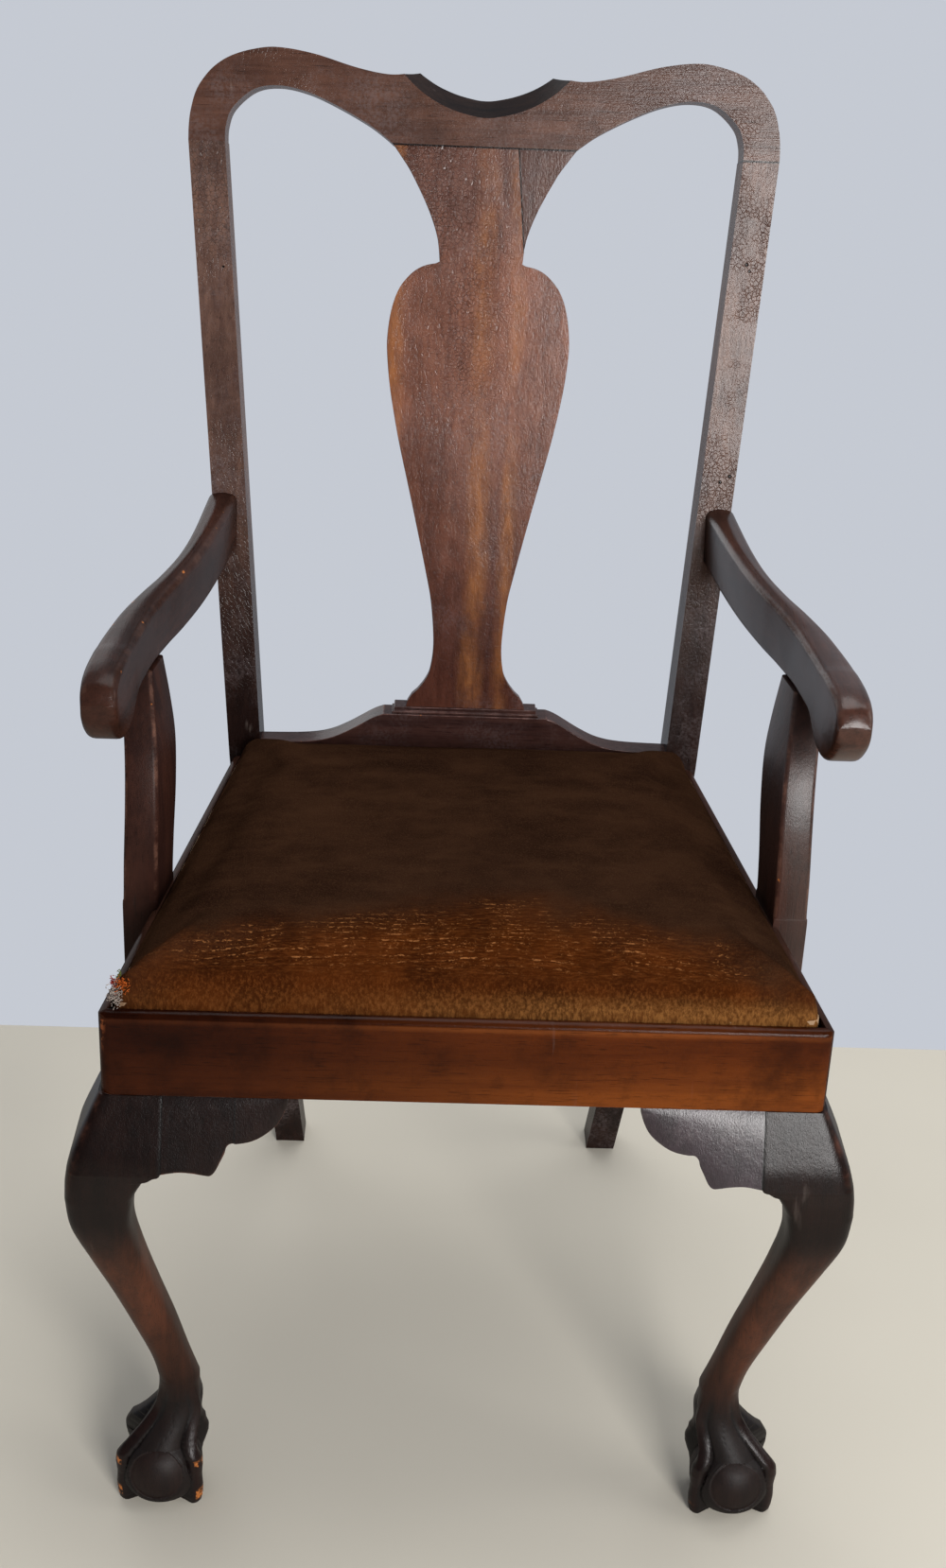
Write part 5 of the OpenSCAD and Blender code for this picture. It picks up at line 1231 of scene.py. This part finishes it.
# the light comes from the right: the left arm and support have little coat, so they show their brown, and their colour
# is painted darker as painted shade; the right ones have more coat for their sheen
m_arm, m_support = {}, {}
for side, arm_coat, coat, painted_shade in ((LEFT, 0.26, 0.2, 0.75), (RIGHT, 0.62, 0.9, 1.0)):
    m_arm[side] = wood(f"mahogany_arm_{SIDES[side]}", "Y", times((0.062, 0.024, 0.016), painted_shade), (0.02, 0.009, 0.0065),
                       11, coat=arm_coat, polish=0.25, uneven=3.0, rub=(0.07, 0.035, 0.025))
    m_support[side] = wood(f"mahogany_support_{SIDES[side]}", "Z", times((0.055, 0.02, 0.013), painted_shade),
                           (0.018, 0.0075, 0.006), 7, coat=coat, polish=0.38, uneven=3.0, rub=(0.16, 0.075, 0.05))
m_leg = wood("mahogany_carved", "Z", (0.08, 0.0245, 0.011), (0.03, 0.0105, 0.0055), 4, coat=0.42, polish=0.28,
             uneven=3.0, tint=[(2, 0.178, 0.224, (0.15, 0.19, 0.32)), (2, 0.115, 0.062, (0.18, 0.26, 0.48))])
m_web = wood("mahogany_web", "Z", (0.015, 0.0075, 0.006), (0.006, 0.0035, 0.0034), 4, polish=0.5, uneven=3.0)
# the right front bracket, which faces the light: a paler, bluer copy of the carved wood with pale haze and a full coat,
# as a painted sheen; the left brackets use the carved wood itself
m_bracket_sheen = wood("mahogany_bracket_painted_sheen", "Z", (0.034, 0.02, 0.026), (0.014, 0.0085, 0.011), 14, patina=0.4, haze_and_sheen=0.3,
                 coat=1.0, polish=0.3, uneven=3.0, scuffed=0.12)
# the splat: painted shade, darker towards its foot; greyer near its top, partly the crazed finish's own grey and partly
# a painted sheen
m_splat = wood("mahogany_splat", "Z", (0.24, 0.097, 0.06), (0.11, 0.042, 0.027), 5, crackle=1.0, haze_and_sheen=0.25,
               patina=0.25, rub=(0.03, 0.018, 0.015), bands=[(0.003, 0.011), (-0.053, 0.009), (0.022, 0.008)],
               tint=[(2, 0.6, 0.4, (0.36, 0.29, 0.28)), (2, 0.63, 0.69, (0.6, 0.68, 0.8))])
m_ear = wood("mahogany_ear", "Z", (0.11, 0.052, 0.038), (0.055, 0.025, 0.019), 9, crackle=0.5, haze_and_sheen=0.3)
# the front rail: painted shade, darker to the left, away from the light; darker over its upper part; a pale blue
# painted highlight along its top arris, and painted shade above it, under the cushion's edge. Its pale grey rubbed
# edges are wear and a painted highlight together.
m_rail = wood("mahogany_rail", "X", (0.165, 0.042, 0.0068), (0.09, 0.0205, 0.004), 6, patina=0.85, figure=0.85,
              coat=0.16, polish=0.2, rub=(0.16, 0.11, 0.1), chips=(0.2, 0.055, 0.018),
              tint=[(0, 0.13, -0.17, (0.24, 0.2, 0.25)), (2, 0.3, 0.328, (0.62, 0.52, 0.48)),
                    (2, 0.334, 0.3368, (1.7, 2.1, 2.6)), (2, 0.3372, 0.3385, (0.35, 0.3, 0.3))])
m_bare = {g: bare_wood(f"bare_wood_{g}", g, i) for i, g in enumerate("XYZ", 1)}

frame_piece("crest_rail", crest_mesh(), m_cross, second=m_scoop)
splat_mesh, ear_mesh = splat_meshes()
frame_piece("splat", splat_mesh, m_splat, slot="red_wood")
frame_piece("splat_ear", ear_mesh, m_ear, slot="red_wood")
frame_piece("splat_shoe", shoe_mesh(), m_shoe)
frame_piece("shoe_plinth", from_cad("shoe_plinth", 0.0005), m_shoe)


def top_joint(e):
    return all(v.co.z > (JOINT_Z - 6) * MM for v in e.verts) and any(f.normal.z > 0.8 for f in e.link_faces)


for side, name in SIDES.items():
    stile = glue_lines(from_cad(f"stile_{name}", 0.0018, top_joint),
                       [(on_back(JOINT_Z, 0)(0, 0, 0), -UP_BACK, 0.0006, lambda c: c.z > 0.7 and c.x > 0)])
    frame_piece(f"stile_{name}", add_crackle(stile, lambda c: (c.z - 0.45) / 0.1), m_stile)
    frame_piece(f"side_rail_{name}", rounded_corner(from_cad(f"side_rail_{name}", 0.0007)), m_depth)
    front_leg(side, m_leg)
    arm_piece(side, m_arm[side])
    support_piece(side, m_support[side])
    frame_piece(f"knee_bracket_side_{name}", bracket_mesh(True, side, 0, 1), m_leg, "carved")
front_rail = rounded_corner(from_cad("front_rail", 0.0022, segments=4))
# the knock on the left front corner shows bare wood
knock = Vector((-0.1882, -MID + 0.0012, 0.3355))
set_attribute(front_rail, "chip", [math.exp(-((v.co - knock).length / 0.0045) ** 2) for v in front_rail.vertices])
frame_piece("front_rail", front_rail, m_rail, slot="red_wood")
frame_piece("back_rail", from_cad("back_rail", 0.0008), m_cross)
for name, side, start, end, material in (("knee_bracket_front_right", RIGHT, 0, 1, m_bracket_sheen),
                                         ("knee_bracket_front_left", LEFT, 0, TIP, m_leg),
                                         ("bracket_tip_front_left", LEFT, TIP, 1, m_leg)):
    frame_piece(name, bracket_mesh(False, side, start, end), material, "carved")

cushion_piece(velvet())
# the threads at the cushion's left front corner: colours, middle, spread and lean, how many and how long
FRAYED = (
    ("white", (0.42, 0.36, 0.32), (0.19, 0.15, 0.12), (-180, 7.5, 347), (1.7, 1.0, 3.4), (-0.4, -0.8, 0.2), 130, 2.8),
    ("orange", (0.5, 0.115, 0.016), (0.2, 0.03, 0.006), (-176.3, 7.8, 353.5), (1.4, 0.8, 2.4), (-0.4, -0.9, 0.3),
     60, 2.6),
    ("red", (0.3, 0.02, 0.01), (0.12, 0.01, 0.006), (-180.5, 9.5, 354.5), (0.8, 1.0, 1.8), (-0.8, -0.5, 0.4), 34, 2.6),
    ("green", (0.12, 0.16, 0.02), (0.05, 0.06, 0.01), (-178, 9.5, 357.5), (0.8, 1.0, 1.2), (-0.3, -0.4, 0.8), 14, 2.6))
for seed, (hue, *values) in enumerate(FRAYED, 1):
    threads(f"fray_{hue}", *values, seed)
dust_cover_piece(woven("lining", (0.03, 0.03, 0.032), (0.008, 0.008, 0.009), 0.0011, 0.85, 0.0002))
m_webbing = woven("webbing", (0.5, 0.38, 0.22), (0.2, 0.14, 0.07), 0.0024)
strap_pieces("webbing_long", 1, m_webbing)
strap_pieces("webbing_cross", 0, m_webbing)
hessian_piece(woven("hessian_weave", (0.45, 0.33, 0.18), (0.15, 0.1, 0.05), 0.0016))

# the CAD's own objects that stay in the scene
blocks = [f"corner_block_{end}_{side}" for end in ("front", "back") for side in SIDES.values()]
for material, names in ((m_bare["X"], ["seat_cleat", "seat_frame_front", "seat_frame_back", *blocks]),
                        (m_bare["Y"], ["seat_frame_left", "seat_frame_right"]),
                        (m_bare["Z"], ["crest_dowels", "support_dowels"]), (m_stile, ["arm_plugs"]),
                        (brass("old_brass"), ["corner_screws", "arm_screws", "support_screws"]),
                        (iron("tack_iron"), ["dust_cover_tacks"])):
    for name in names:
        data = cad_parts[name].data
        data.materials.clear()
        data.materials.append(material)

bpy.context.scene.view_settings.view_transform = "Standard"
